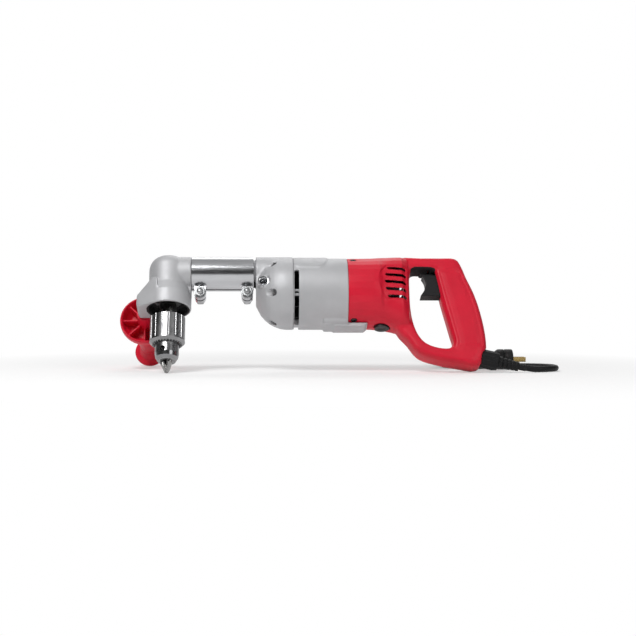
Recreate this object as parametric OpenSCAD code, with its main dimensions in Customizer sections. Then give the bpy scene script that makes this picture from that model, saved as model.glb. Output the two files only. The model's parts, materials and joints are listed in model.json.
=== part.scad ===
// Corded right angle drill with a D-handle, in millimetres.
// Each piece is drawn in the tool's own frame: X runs along the drive axis from the chuck axis to the
// D-handle, Z is up along the chuck axis, and Y goes to the tool's right side. The tool is then leaned
// back so that it stands on its jaws, the end of its side handle and the corner of its D-handle.

/* [Right angle head] */
// Outer radius of the upright barrel of the head
head_r = 25.6; // [24:0.2:28]
// Height of the head's top above the drive axis
head_top = 22.5; // [21:0.5:25]
// Outer radius of the arm that meets the clamp sleeve
arm_r = 22.6; // [22:0.2:25]
// Distance from the chuck axis to the end of the arm
arm_end = 30; // [28:0.5:33]
// Outer radius of the skirt round the output spindle
skirt_r = 30; // [28:0.5:33]
// Depth of the skirt's rim below the drive axis
skirt_depth = 51.5; // [50:0.5:54]

/* [Chuck] */
// Depth of the chuck's top below the drive axis
chuck_top = 62; // [58:0.5:64]
// Outer radius of the fluted sleeve
sleeve_r = 22.7; // [22:0.1:24]
// Length of the fluted sleeve
sleeve_len = 40; // [38:0.5:42]
// Length of the chuck from its top to the tips of its closed jaws
chuck_len = 77; // [74:0.5:80]
// Radius of one round jaw
jaw_r = 3.6; // [3.2:0.1:3.8]
// Travel of a jaw along its own axis
jaw_travel = 29; // [20:0.5:29]
// Radius of the hole that is left between the closed jaws
jaw_hole_r = 1; // [0.8:0.1:1.2]
// Count of flutes round the sleeve
flute_count = 16; // [12:1:24]
// Count of key teeth round the sleeve's lower edge
key_teeth = 30; // [24:1:36]

/* [Side handle] */
// Distance of the handle's axis in front of the chuck axis
side_x = 33; // [32:0.5:35]
// Depth of the handle's axis below the drive axis
side_depth = 45; // [43:0.5:46]
// Distance of the handle's far end from the middle plane
side_end = 160; // [150:1:168]
// Radius of the guard
guard_r = 33; // [30:0.5:36]
// Radius of the grip
grip_r = 13; // [12:0.5:15]
// Radius of the flange at the grip's end
end_r = 21; // [19:0.5:23]
// Radius of the threaded stud, and of the side handle holes
stud_r = 4.76; // [4:0.01:5]

/* [Clamp sleeve] */
// Outer radius of the clamp sleeve
clamp_r = 22.6; // [22:0.1:24]
// Radius of the two necks inside the sleeve
neck_r = 18; // [17.5:0.1:18.3]
// Width of the slit along the sleeve's bottom
slit_w = 2.5; // [1.5:0.1:4]
// Radius of a clamp bolt's shank
bolt_r = 4; // [3:0.1:4.5]

/* [Gear case and motor] */
// Distance from the chuck axis to the front face of the gear case
case_front = 113.8; // [112:0.2:116]
// Length of the gear case
case_len = 48; // [47:0.5:50]
// Depth of the motor axis below the drive axis
motor_drop = 29; // [28.5:0.1:30]
// Outer radius of the gear case and the motor housing
barrel_r = 46.5; // [46:0.1:48]
// Wall of the gear case and the motor housing
barrel_wall = 4; // [3:0.1:4.2]
// Length of the motor housing that shows
housing_len = 70.4; // [68:0.2:74]
// Width of the exhaust slots
exhaust_w = 5.8; // [4:0.2:7]

/* [D-handle] */
// Length of the D loop from its front post to its back
loop_len = 124; // [118:1:130]
// Height of the D loop
loop_h = 153.5; // [150:0.5:156]
// Half of the D loop's thickness
loop_half = 16; // [15:0.5:18]
// Wall of the two handle shells
shell_wall = 2.8; // [2.4:0.1:3]
// Pitch of the vent slots
vent_pitch = 10; // [8:0.5:11]
// Height of one vent slot
vent_h = 4; // [3:0.2:5]
// Radius of a brush cap
cap_r = 9.5; // [8.5:0.1:10]
// Travel of the trigger
trigger_travel = 6; // [4:0.5:7]
// Radius of the cord
cord_r = 4; // [3.8:0.1:4]

/* [Hidden] */
$fn = 64;

// Overrun of every cut, clearance of a running or seated fit, and gap between bodies
over = 1;
fit = 0.04;
gap = 0.4;

// Small sizes of the head
head_round = 18.5;
flare_top = 20;
flare_end = 33;
web_half = 8;
lug_face = 7.5;
lug_round = 5;
lug_top_drop = 21;
lug_near = 13;
lug_far = 26;
side_thread = 18;
input_bore_r = 13.5;
neck_len = 38;
chamber_r = 19.5;
chamber_top = 6;
output_bearing_r = 17.5;
output_bearing_top = 25;
bearing_w = 12;
recess_r = 25;
retainer_h = 4;
retainer_face = output_bearing_top + bearing_w + retainer_h;
spanner_r = 1.6;
bush_r = 8;
bush_h = 10;
top_journal_r = 5;
output_r = 8;
input_bearing_x = 23.5;
input_bearing_w = 10;
input_journal_r = 6;

// Bevel gear pair, with its apex where the two axes cross
bevel_m = 1.6;
bevel_n1 = 14;
bevel_n2 = 21;
bevel_face = 7;
bevel_r1 = bevel_m * bevel_n1 / 2;
bevel_r2 = bevel_m * bevel_n2 / 2;
bevel_bore_r = 5;
bevel_hub = 4;
bevel_backlash = 0.62;

// Small sizes of the chuck
sleeve_wall = 2;
sleeve_bottom = chuck_top + sleeve_len;
tip_depth = chuck_top + chuck_len;
jaw_out = 15;
nose_depth = tip_depth - jaw_out;
crown_h = 4.5;
crown_inner_r = 17;
crown_floor = 3.6;
flute_r = 1.5;
flute_sink_share = 0.35;
tooth_r = 2;
chuck_core_r = sleeve_r - sleeve_wall - gap;
nose_r = 15.5;
nose_end_r = 11.5;
nose_bend = 10;
arbor_len = 21;
bit_hole_r = 6.7;
bit_hole_web = 7;
bit_hole_top = nose_depth - chuck_top - arbor_len - bit_hole_web;
nut_h = 6.5;
nut_top = sleeve_bottom - crown_floor - nut_h;
jaw_tip_axis_r = 2.5;
nut_axis_r = 10.8;
jaw_angle = atan((nut_axis_r - jaw_tip_axis_r) / (tip_depth - nut_top));
jaw_short = 2.8;
jaw_len = (tip_depth - nut_top) / cos(jaw_angle) - jaw_short;
jaw_turn_angle = -48;
jaw_cone_r = 2.4;
jaw_cone_h = 12;
jaw_split = 0.3;
jaw_fit = 0.1;
jaw_reach = jaw_r / cos(jaw_angle);
jaw_bore_end = 1.5;
key_hole_r = 3.5;
key_hole_drop = 9;
key_hole_depth = sleeve_bottom + key_hole_drop;
nut_inner_r = nut_axis_r + jaw_reach + gap;

// Small sizes of the side handle
stud_end = 70;
guard_near = 45;
guard_depth = 20;
guard_wall = 3;
hub_r = 9.5;
rib_count = 8;
rib_w = 2.4;
neck_grip_r = 11;
flange_len = 12;

// Small sizes of the clamp
clamp_gap = 0.3;
clamp_x0 = arm_end + clamp_gap;
clamp_x1 = case_front - 3 * over;
lug_plate = 8.5;
lug_w = 15;
bolt_depth = 31;
bolt_in = 11;
bolt_back = 8.5;
bolt_x = [clamp_x0 + bolt_in, clamp_x1 - bolt_back];
bolt_head_r = 7.5;
bolt_head_h = 5.5;
nut_hex_r = 7.2;
bolt_tail = 3;

// Drive line along the X axis
head_neck_end = arm_end + neck_len;
neck_space = 8;
case_neck_start = head_neck_end + neck_space;
socket_r = 12.5;
socket_x = 37;
socket_out = 6;
socket_end = head_neck_end + socket_out;
socket_floor = 50;
spindle_r = 8;
spindle_body_r = 9;
spindle_bore_r = 10;
front_bearing_r = 15;
front_wall = 2;
front_bearing_x = case_neck_start + front_wall;
case_back = case_front + case_len;
plate_t = 4.8;
plate_x = case_back - plate_t;

// Spur gears: a first stage from the motor to the idler, a second from the idler to the spindle
pressure_angle = 25;
addendum_share = 0.8;
dedendum_share = 1.05;
backlash = 0.16;
pinion_n = 9;
idler_n = 47;
idler_clear = 0.66;
m1 = (barrel_r - barrel_wall - idler_clear) / (pinion_n / 2 + idler_n + addendum_share);
m2 = 1.1;
idler_pinion_n = 9;
spindle_n = 31;
c1 = m1 * (pinion_n + idler_n) / 2;
c2 = m2 * (idler_pinion_n + spindle_n) / 2;
idler_up = (motor_drop * motor_drop + c1 * c1 - c2 * c2) / (2 * motor_drop);
idler_y = sqrt(c1 * c1 - idler_up * idler_up);
idler_z = idler_up - motor_drop;
stage1_w = 7;
stage1_gap = 1.2;
stage1_x = plate_x - stage1_w - stage1_gap;
stage2_w = 11;
stage2_gap = 1.4;
stage2_x = stage1_x - stage2_w - stage2_gap;
gear_floor = stage2_x - stage2_gap;
idler_journal_r = 3;
idler_bush_r = 5;
idler_bush_len = 8;

// Small sizes of the gear case
dome_len = 43.9;
dome_from = 41.2;
dome_x = case_front + dome_from;
nose_case_r = 22.5;
nose_web_half = 20;
case_boss_from = 9.6;
case_boss_x = case_front + case_boss_from;
case_boss_drop = 26;
case_boss_y = 33.5;
case_boss_r = 8;
case_hole_len = 16;
screw_ring_in = 7;
screw_ring_r = barrel_r - screw_ring_in;
screw_boss_r = 4.5;
screw_r = 2;
screw_head_r = 3.9;
screw_head_h = 4;
screw_angles = [135, 202, 270, 338];
screw_floor = 5;
screw_seat = gear_floor + screw_floor;

// Small sizes of the motor housing
housing_end = case_back + housing_len;
deck_rise = 1.2;
deck_front = 3.2;
deck_back = 44;
deck_half = 43.5;
deck_round = 12;
notch_w = 6;
notch_h = 5;
exhaust_from = 1.2;
exhaust_x = case_back + exhaust_from;
exhaust_top_angle = 18;
exhaust_sweep_angle = 103;
spigot_step = 3.9;
spigot_r = barrel_r - spigot_step;
spigot_wall = 3.2;
spigot_len = 14;
keel_rise = 5;
keel_half = 12;
keel_front = 41.6;
keel_back = 26;
keel_lift = 0.5;
fairing_r = 6;
fairing_len = 31;
fairing_angle = 17;
housing_boss_len = 13;

// Motor
field_from = 22.2;
field_x = case_back + field_from;
field_back = 2.2;
field_len = housing_len - field_from - field_back;
field_gap = 0.1;
field_bore_r = 22.4;
core_r = 21.8;
coil_in_r = 26;
coil_clear = 6.5;
coil_out_r = barrel_r - barrel_wall - coil_clear;
coil_w = 9;
coil_end = 9;
coil_gap = 0.2;
coil_spread_angle = 48;
coil_over_angle = 9;
shaft_r = 6;
motor_journal_r = 5;
motor_bearing_r = 11;
core_slots = 12;
slot_w = 3;
slot_depth = 7;
winding_r = 19;
winding_len = 9;
brush_from = 44.2;
brush_x = housing_end + brush_from;
comm_r = 14;
comm_len = 26;
comm_slots = 12;
comm_slot_w = 0.8;
fan_clear = 8.5;
fan_r = barrel_r - barrel_wall - fan_clear;
fan_w = 9;
fan_disc = 2;
fan_from = 2.4;
fan_x = case_back + fan_from;
fan_blades = 10;
fan_blade_t = 1.6;
fan_hub_r = 10;
rear_gap = 3;
rear_bearing_x = brush_x + comm_len / 2 + rear_gap;
rear_bearing_w = 8;
hub_plate_r = 15;
bracket_ring = 5;
bracket_arm = 5;
bracket_arm_h = 12;
brush_w = 6;
brush_t = 9;
brush_len = 16;
holder_wall = 1.6;
cap_h = 4;
cap_slot_w = 1.6;
cap_slot_h = 1.4;

// D-handle: the loop is lofted between an outer and an inner outline, both as shares of its size
loop_from = 53.8;
loop_x = housing_end + loop_from;
loop_rise = 1;
loop_top = barrel_r - motor_drop + loop_rise;
outer_shares = [
    [0.11, 0], [0.36, 0], [0.57, 0], [0.735, 0.005], [0.795, 0.08], [0.84, 0.186], [0.912, 0.336],
    [0.966, 0.511], [1, 0.71], [0.992, 0.88], [0.9, 1], [0.72, 0.984], [0.476, 0.941], [0.29, 0.885],
    [0.17, 0.76], [0.08, 0.675], [0.016, 0.511], [0, 0.303], [0.016, 0.094]
];
inner_shares = [
    [0.285, 0.113], [0.379, 0.113], [0.46, 0.117], [0.496, 0.135], [0.512, 0.199], [0.528, 0.277],
    [0.548, 0.381], [0.585, 0.524], [0.629, 0.687], [0.653, 0.779], [0.621, 0.827], [0.548, 0.837],
    [0.444, 0.821], [0.355, 0.779], [0.29, 0.7], [0.25, 0.59], [0.23, 0.459], [0.229, 0.303], [0.238, 0.16]
];
loop_steps = 3;
loop_sides = 20;
loop_round = 0.55;
// Barrel of the handle: places along its length, half widths, tops, bottoms and how square it is
barrel_len = 79.5;
barrel_x_shares = [0, 0.25, 0.42, 0.52, 0.57, 0.65, 0.76, 0.89, 1];
barrel_half_shares = [0.995, 0.995, 0.985, 0.955, 0.875, 0.82, 0.795, 0.75, 0.52];
barrel_top_shares = [0.995, 1, 1.005, 1.015, 1.02, 1.021, 1.021, 1.021, 1.015];
barrel_bottom_shares = [0.995, 1, 1.01, 1.03, 1.045, 1.07, 1.11, 1.18, 1.23];
barrel_square = [1, 1, 0.98, 0.94, 0.88, 0.82, 0.76, 0.7, 0.66];
barrel_sides = 32;
vent_count = 5;
vent_top = 8;
vent_end = 76;
vent_lengths_share = [0.29, 0.325, 0.34, 0.325, 0.29];
front_screw_from = 7.6;
front_screw_x = housing_end + front_screw_from;
front_screw_angles = [130, 253];
front_screw_head_r = 4;
front_screw_head_h = 2.4;
front_screw_len = 7;
shell_screw_shares = [[0.5, 0.06], [0.95, 0.8], [0.33, 0.84], [0.12, 0.13]];
shell_screw_r = 3.6;
shell_boss_r = 5.5;
shell_screw_shank = 1.8;
inner_top = loop_top - inner_shares[0][1] * loop_h;
window_half = 8.2;
window_rise = 3.35;
window_top = inner_top + window_rise;
window_h = 41;
window_drop = window_h - window_top;
window_share = 0.43;
window_x = loop_x + window_share * loop_len;
window_len = 22;

// Trigger, reversing lever and switch
trigger_half = window_half - gap;
trigger_gap = 6.35;
trigger_top = trigger_gap - inner_top;
trigger_h = 29.6;
trigger_shares = [0.365, 0.575];
trigger_front = loop_x + trigger_shares[0] * loop_len;
trigger_back = loop_x + trigger_shares[1] * loop_len;
trigger_hollow = 4.6;
trigger_lip = 3;
trigger_steps = 10;
plunger_r = 2.5;
plunger_len = 14;
switch_gap = 3;
switch_x = trigger_back + trigger_travel + switch_gap;
switch_back_share = 0.752;
switch_len = loop_x + switch_back_share * loop_len - switch_x;
switch_share = 0.6;
switch_half = switch_share * loop_half;
switch_drop = 5.35;
switch_top = switch_drop - inner_top;
switch_h = 29;
lever_shares = [0.36, 0.585];
lever_front = loop_x + lever_shares[0] * loop_len;
lever_pivot = loop_x + lever_shares[1] * loop_len;
lever_w = 6;
lever_h = 3.6;
lever_gap = 2.05;
lever_top = lever_gap - inner_top;
pivot_r = 1.8;
pivot_plate = 2.6;
pivot_half = 6;
pivot_gap = 0.5;

// Cord collar and strain relief, on a slanted axis at the corner of the D-handle
exit_share = 0.94;
exit_x = loop_x + exit_share * loop_len;
exit_up = 15;
exit_depth = loop_h - loop_top - exit_up;
exit_angle = 14;
collar_r = 11.8;
collar_len = 23;
collar_neck_r = 8;
collar_neck = 9;
collar_ribs = 12;
collar_rib_r = 1.2;
relief_r = 8;
relief_end_r = 6;
relief_len = 27;
relief_grooves = 4;
groove_w = 1.6;
groove_depth = 1.1;

// Standing pose: jaws, side handle end and D-handle corner on the ground
flange_r = flange_len / 2;
lean_drop = tip_depth - side_depth - end_r + flange_r;
lean_run = side_end - flange_r - jaw_cone_r;
lean = acos(flange_r / norm([lean_drop, lean_run])) - atan2(lean_run, lean_drop);
ground = tip_depth * cos(lean) + jaw_cone_r * sin(lean);
exit_tip = [
    exit_x + (collar_len + relief_len) * cos(exit_angle),
    -exit_depth - (collar_len + relief_len) * sin(exit_angle)
];
mid_x = (exit_tip[0] + relief_end_r * sin(exit_angle) - side_x - guard_r) / 2;
near_y = (loop_h - loop_top) * sin(lean) + loop_half * cos(lean);
far_y = side_end * cos(lean) - (side_depth - end_r) * sin(lean);
mid_y = (far_y - near_y) / 2;

// Points on the ground frame for the cord
exit_point = [exit_tip[0] - mid_x, exit_tip[1] * sin(lean) - mid_y, exit_tip[1] * cos(lean) + ground];
exit_way = [cos(exit_angle), -sin(exit_angle) * sin(lean), -sin(exit_angle) * cos(lean)];
exit_lead = 8;

// Cord route on the ground, chosen by hand
cord_route = [
    [266, -87, 6], [279, -88, 4.3], [296, -83, 4.3], [308, -71, 4.3], [312, -55, 4.3], [308, -39, 4.3],
    [296, -27, 4.3], [281, -21, 4.3], [267, -14, 4.3], [257, -4, 4.3]
];
hank_x = 210;
hank_y = 95;
hank_run = 75;
hank_out = 42;
hank_pitch = 9.2;
hank_draw = 12;
hank_loops = 4;
hank_dwell = 1 / 3;
hank_flare = 9;
hank_end = 3 + 22 / 24;
hank_z = 4.3;
hank_layer = 9.6;
hank_lift = 1.4;
hank_rings = 24;
hank_sides = 6;
tie_w = 12;
tie_t = 1;
plug_r = 13.5;
plug_len = 42;
plug_neck_r = 6;
blade_w = 6.3;
blade_t = 1.5;
blade_len = 17;
blade_gap = 12.7;

// Shapes along the axes

module rod_x(x0, x1, r, y = 0, z = 0) {
    translate([x0, y, z]) rotate([0, 90, 0]) cylinder(h = x1 - x0, r = r);
}

module rod_y(y0, y1, r, x = 0, z = 0) {
    translate([x, y0, z]) rotate([-90, 0, 0]) cylinder(h = y1 - y0, r = r);
}

module rod_z(z0, z1, r, x = 0, y = 0) {
    translate([x, y, z0]) cylinder(h = z1 - z0, r = r);
}

// Turned piece along X from points of radius and place
module turned_x(points, y = 0, z = 0) {
    translate([0, y, z]) rotate([0, 90, 0]) rotate_extrude() polygon(points);
}

// Outline in the Y-Z plane, drawn out along X
module along_x(x0, x1) {
    translate([x0, 0, 0]) rotate([90, 0, 90]) linear_extrude(x1 - x0) children();
}

// Outline in the X-Z plane, drawn out evenly to both sides
module across(half) {
    rotate([90, 0, 0]) linear_extrude(2 * half, center = true) children();
}

module block(low, high) {
    translate(low) cube(high - low);
}

// Ball bearing as a closed ring with shields, along Z
module bearing(r_out, r_in, w) {
    race = (r_out - r_in) / 4;
    sink = w / 14;
    rotate_extrude() polygon([
        [r_in, 0], [r_in + race, 0], [r_in + race, sink],
        [r_out - race, sink], [r_out - race, 0], [r_out, 0],
        [r_out, w], [r_out - race, w], [r_out - race, w - sink], [r_in + race, w - sink], [r_in + race, w],
        [r_in, w]
    ]);
}

module bearing_x(x, r_out, r_in, w, y = 0, z = 0) {
    translate([x, y, z]) rotate([0, 90, 0]) bearing(r_out, r_in, w);
}

// Leans the upright tool back onto its three contacts
module stand() {
    translate([-mid_x, -mid_y, ground]) rotate([-lean, 0, 0]) children();
}

// Gear teeth

function involute_deg(a) = (tan(a) - a * PI / 180) * 180 / PI;

// Half the tooth's angle at radius r on a gear of n teeth
function half_tooth(r, n, pitch_r, thin) =
    90 / n - thin / pitch_r * 90 / PI
    + involute_deg(pressure_angle) - involute_deg(acos(min(1, pitch_r * cos(pressure_angle) / r)));

// Radii of the points along one flank, from the root to the tip
function flank_radii(pitch_r, m) =
    let (root = pitch_r - dedendum_share * m)
    let (tip = pitch_r + addendum_share * m)
    let (start = max(root, pitch_r * cos(pressure_angle)))
    [for (k = [0:4]) start + (tip - start) * k / 4];

function tooth_points(n, pitch_r, m, thin) =
    let (radii = flank_radii(pitch_r, m))
    let (root = pitch_r - dedendum_share * m)
    concat(
        [[root, -half_tooth(radii[0], n, pitch_r, thin)]],
        [for (r = radii) [r, -half_tooth(r, n, pitch_r, thin)]],
        [for (k = [4:-1:0]) [radii[k], half_tooth(radii[k], n, pitch_r, thin)]],
        [[root, half_tooth(radii[0], n, pitch_r, thin)]]
    );

// Flat outline of a spur gear with one tooth centred on the local X axis
module spur_outline(n, m) {
    tooth = tooth_points(n, m * n / 2, m, backlash);
    polygon([
        for (k = [0:n - 1])
            for (p = tooth) [p[0] * cos(p[1] + 360 * k / n), p[0] * sin(p[1] + 360 * k / n)]
    ]);
}

// Straight bevel gear along Z with its apex at the origin and one tooth centred on the local X axis
module bevel_teeth(n, mate) {
    pitch_r = bevel_m * n / 2;
    cone = atan(n / mate);
    apex_len = pitch_r / sin(cone);
    virtual_r = pitch_r / cos(cone);
    tooth = tooth_points(n / cos(cone), virtual_r, bevel_m, bevel_backlash);
    small = 1 - bevel_face / apex_len;
    outline = [
        for (k = [0:n - 1])
            for (p = tooth)
                let (turn = p[1] / cos(cone) + 360 * k / n)
                [p[0] * cos(cone) * cos(turn), p[0] * cos(cone) * sin(turn),
                 apex_len * cos(cone) - (p[0] - virtual_r) * sin(cone)]
    ];
    count = len(outline);
    root_z = apex_len * cos(cone) + dedendum_share * bevel_m * sin(cone);
    points = concat(outline, small * outline, [[0, 0, root_z], [0, 0, small * root_z]]);
    polyhedron(points, concat(
        [for (k = [0:count - 1]) [k, 2 * count, (k + 1) % count]],
        [for (k = [0:count - 1]) [count + (k + 1) % count, 2 * count + 1, count + k]],
        [for (k = [0:count - 1]) [k, (k + 1) % count, count + k]],
        [for (k = [0:count - 1]) [(k + 1) % count, count + (k + 1) % count, count + k]]
    ));
}

// Swept and lofted surfaces

// Skin over rings of points, closed along its length as a loop or closed by two end caps
module skin(rings, loop) {
    count = len(rings);
    sides = len(rings[0]);
    last = loop ? count - 1 : count - 2;
    polyhedron(
        [for (ring = rings) each ring],
        concat(
            [for (i = [0:last]) for (j = [0:sides - 1])
                [i * sides + j, ((i + 1) % count) * sides + j,
                 ((i + 1) % count) * sides + (j + 1) % sides]],
            [for (i = [0:last]) for (j = [0:sides - 1])
                [i * sides + j, ((i + 1) % count) * sides + (j + 1) % sides, i * sides + (j + 1) % sides]],
            loop ? [] : [[for (j = [0:sides - 1]) j]],
            loop ? [] : [[for (j = [sides - 1:-1:0]) (count - 1) * sides + j]]
        )
    );
}

// Point at u between b and c on the curve through four points
function curve(a, b, c, d, u) =
    0.5 * (2 * b + (c - a) * u + (2 * a - 5 * b + 4 * c - d) * u * u + (3 * b - a - 3 * c + d) * u * u * u);

function closed_curve(points, steps) =
    let (n = len(points))
    [for (i = [0:n - 1]) for (k = [0:steps - 1])
        curve(points[(i + n - 1) % n], points[i], points[(i + 1) % n], points[(i + 2) % n], k / steps)];

function signed_power(v, e) = sign(v) * pow(abs(v), e);

function unit(v) = v / norm(v);

// One ring round a swept tube, square to its direction
function tube_ring(p, d, r, sides) =
    let (side = unit(cross([0, 0, 1], d)))
    let (up = cross(d, side))
    [for (j = [0:sides - 1])
        p + r * cos(360 * (j + 0.5) / sides) * side + r * sin(360 * (j + 0.5) / sides) * up];

function tube_rings(points, r, sides) =
    let (n = len(points))
    [for (i = [0:n - 1])
        tube_ring(points[i], unit(points[min(i + 1, n - 1)] - points[max(i - 1, 0)]), r, sides)];

// Head

module head_casting() {
    color("silver") difference() {
        union() {
            rotate_extrude() polygon(concat(
                [[0, -skirt_depth], [skirt_r, -skirt_depth], [skirt_r, -flare_end], [head_r, -flare_top]],
                [for (a = [0:10:90])
                    [head_r - head_round + head_round * cos(a),
                     head_top - head_round + head_round * sin(a)]],
                [[0, head_top]]
            ));
            rod_x(0, arm_end, arm_r);
            rod_x(0, head_neck_end, neck_r);
            across(web_half) polygon([
                [0, 0], [arm_end, 0], [arm_end, -arm_r], [skirt_r, -flare_end], [0, -flare_end]
            ]);
            head_lug();
        }
        rod_z(-output_bearing_top, chamber_top, chamber_r);
        rod_x(0, head_neck_end + over, input_bore_r);
        rod_z(-retainer_face, -output_bearing_top + over, output_bearing_r);
        rod_z(-skirt_depth - over, -retainer_face, recess_r);
        rod_z(chamber_top - over, chamber_top + bush_h, bush_r);
        rod_y(lug_far - side_thread, lug_far + over, stud_r, -side_x, -side_depth);
    }
}

// Lug that grows out of the skirt, slopes down from the barrel and takes the side handle
module head_lug() {
    lug_end = side_x + lug_face;
    intersection() {
        translate([0, lug_far, 0]) rotate([90, 0, 0]) linear_extrude(lug_far + skirt_r)
            offset(lug_round) offset(-lug_round) polygon([
                [-lug_end, -skirt_depth], [-head_r / 2, -skirt_depth],
                [-head_r / 2, head_r / 2 - lug_top_drop], [-lug_end, head_r - lug_end - lug_top_drop]
            ]);
        translate([0, 0, -skirt_depth]) linear_extrude(skirt_depth) hull() {
            circle(skirt_r);
            for (y = [lug_round - lug_near, lug_far - lug_round])
                translate([lug_round - lug_end, y]) circle(lug_round);
        }
    }
}

module head_input_bearing() {
    color("gray") bearing_x(input_bearing_x, input_bore_r - fit, input_journal_r + fit, input_bearing_w);
}

module head_output_bearing() {
    color("gray") translate([0, 0, -output_bearing_top - bearing_w])
        bearing(output_bearing_r - fit, output_r + fit, bearing_w);
}

module head_top_bush() {
    color("peru") difference() {
        rod_z(chamber_top, chamber_top + bush_h, bush_r - fit);
        rod_z(chamber_top - over, chamber_top + bush_h + over, top_journal_r + fit);
    }
}

module head_retainer() {
    color("dimgray") difference() {
        rod_z(-retainer_face, -retainer_face + retainer_h, output_bearing_r - fit);
        rod_z(-retainer_face - over, -retainer_face + retainer_h + over, output_r + over);
        for (a = [0, 180])
            rotate([0, 0, a])
                rod_z(-retainer_face - over, -retainer_face + retainer_h / 2, spanner_r,
                      (output_bearing_r + output_r) / 2);
    }
}

// Side handle

module side_handle_grip() {
    guard_far = guard_near + guard_depth;
    grip_len = side_end - guard_far;
    color("crimson") translate([-side_x, 0, -side_depth]) rotate([-90, 0, 0]) difference() {
        union() {
            rotate_extrude() polygon(concat(
                [[0, guard_far - guard_wall], [guard_r - 4 * guard_wall, guard_far - guard_wall],
                 [guard_r - 2 * guard_wall, guard_far - 3 * guard_wall], [guard_r - guard_wall, guard_near],
                 [guard_r - guard_wall / 2, guard_near - guard_wall / 2], [guard_r, guard_near]],
                [for (a = [0:18:90])
                    [grip_r + (guard_r - grip_r) * cos(a),
                     guard_near + guard_depth * (0.35 + 0.65 * sin(a))]],
                [[neck_grip_r, guard_far + 0.12 * grip_len], [grip_r, guard_far + 0.3 * grip_len],
                 [grip_r, guard_far + 0.6 * grip_len], [neck_grip_r, side_end - 2 * flange_len],
                 [0.7 * end_r, side_end - flange_len]],
                [for (a = [30:-15:-90])
                    [end_r - flange_r + flange_r * cos(a),
                     side_end - flange_r - flange_r * sin(a)]],
                [[0, side_end]]
            ));
            rod_z(lug_far, guard_far, hub_r);
            for (k = [0:rib_count - 1])
                rotate([90, 0, 360 * k / rib_count]) linear_extrude(rib_w, center = true) polygon([
                    [0, guard_near + guard_wall], [guard_r - guard_wall / 2, guard_near + guard_wall],
                    [guard_r - 1.8 * guard_wall, guard_far - 1.5 * guard_wall],
                    [0, guard_far - guard_wall / 2]
                ]);
        }
        rod_z(lug_far - over, stud_end, stud_r + fit);
    }
}

module side_handle_stud() {
    color("darkgray")
        rod_y(lug_far - side_thread + over, stud_end - over, stud_r - fit, -side_x, -side_depth);
}

// Head drive

module input_shaft() {
    color("darkgray") turned_x([
        [0, bevel_r2 - bevel_face + over], [bevel_bore_r - fit, bevel_r2 - bevel_face + over],
        [bevel_bore_r - fit, input_bearing_x - over], [input_journal_r, input_bearing_x - over],
        [input_journal_r, socket_x], [socket_r, socket_x + over], [socket_r, socket_end],
        [spindle_r + fit, socket_end], [spindle_r + fit, socket_floor], [0, socket_floor]
    ]);
}

module bevel_pinion() {
    color("gray") difference() {
        union() {
            rotate([90, 0, 90]) rotate([0, 0, -90]) bevel_teeth(bevel_n1, bevel_n2);
            rod_x(bevel_r2 - over, bevel_r2 + bevel_hub, bevel_r1 - 2 * bevel_m);
        }
        rod_x(0, bevel_r2 + bevel_hub + over, bevel_bore_r);
    }
}

module bevel_gear() {
    color("gray") difference() {
        union() {
            rotate([180, 0, 0]) rotate([0, 0, 180 / bevel_n2]) bevel_teeth(bevel_n2, bevel_n1);
            rod_z(-bevel_r1 - 2 * bevel_hub, -bevel_r1, bevel_r2 - 2 * bevel_m);
        }
        rod_z(-bevel_r1 - 3 * bevel_hub, 0, top_journal_r + fit);
    }
}

module output_spindle() {
    hub_end = bevel_r1 + 2 * bevel_hub;
    color("darkgray") rotate_extrude() polygon([
        [0, chamber_top + bush_h - over], [top_journal_r, chamber_top + bush_h - over],
        [top_journal_r, -hub_end], [output_r + 3 * over, -hub_end],
        [output_r + 3 * over, -output_bearing_top + gap],
        [output_r, -output_bearing_top + gap], [output_r, -retainer_face - over],
        [output_r + 3 * over, -retainer_face - 3 * over], [output_r + 3 * over, -chuck_top],
        [output_r, -chuck_top], [output_r, -chuck_top - arbor_len + over],
        [0, -chuck_top - arbor_len + over]
    ]);
}

// Chuck

// Axis of one jaw, drawn along Z from its tip upwards
module on_jaw_axis(turn) {
    rotate([0, 0, turn]) translate([jaw_tip_axis_r, 0, -tip_depth]) rotate([0, jaw_angle, 0]) children();
}

module chuck_body() {
    color("lightgray") difference() {
        rotate_extrude() polygon([
            [0, -chuck_top], [chuck_core_r - 2 * over, -chuck_top], [chuck_core_r, -chuck_top - 2 * over],
            [chuck_core_r, -nut_top], [nut_inner_r - gap, -nut_top],
            [nut_inner_r - gap, -nut_top - nut_h - gap], [nose_r, -nut_top - nut_h - gap],
            [nose_r, -nose_depth + nose_bend],
            [(nose_r + nose_end_r) / 2 + over, -nose_depth + nose_bend / 2],
            [nose_end_r, -nose_depth], [0, -nose_depth]
        ]);
        rod_z(-chuck_top - arbor_len, -chuck_top + over, output_r + fit);
        rod_z(-nose_depth - over, -nose_depth + bit_hole_top, bit_hole_r);
        for (k = [0:2]) {
            on_jaw_axis(jaw_turn_angle + 120 * k)
                cylinder(h = jaw_len + jaw_travel + jaw_bore_end, r = jaw_r + jaw_fit);
            rotate([0, 0, jaw_turn_angle + 120 * k - 60])
                translate([0, 0, -key_hole_depth]) rotate([0, 90, 0])
                    cylinder(h = nose_r + over, r = key_hole_r);
        }
    }
}

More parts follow.
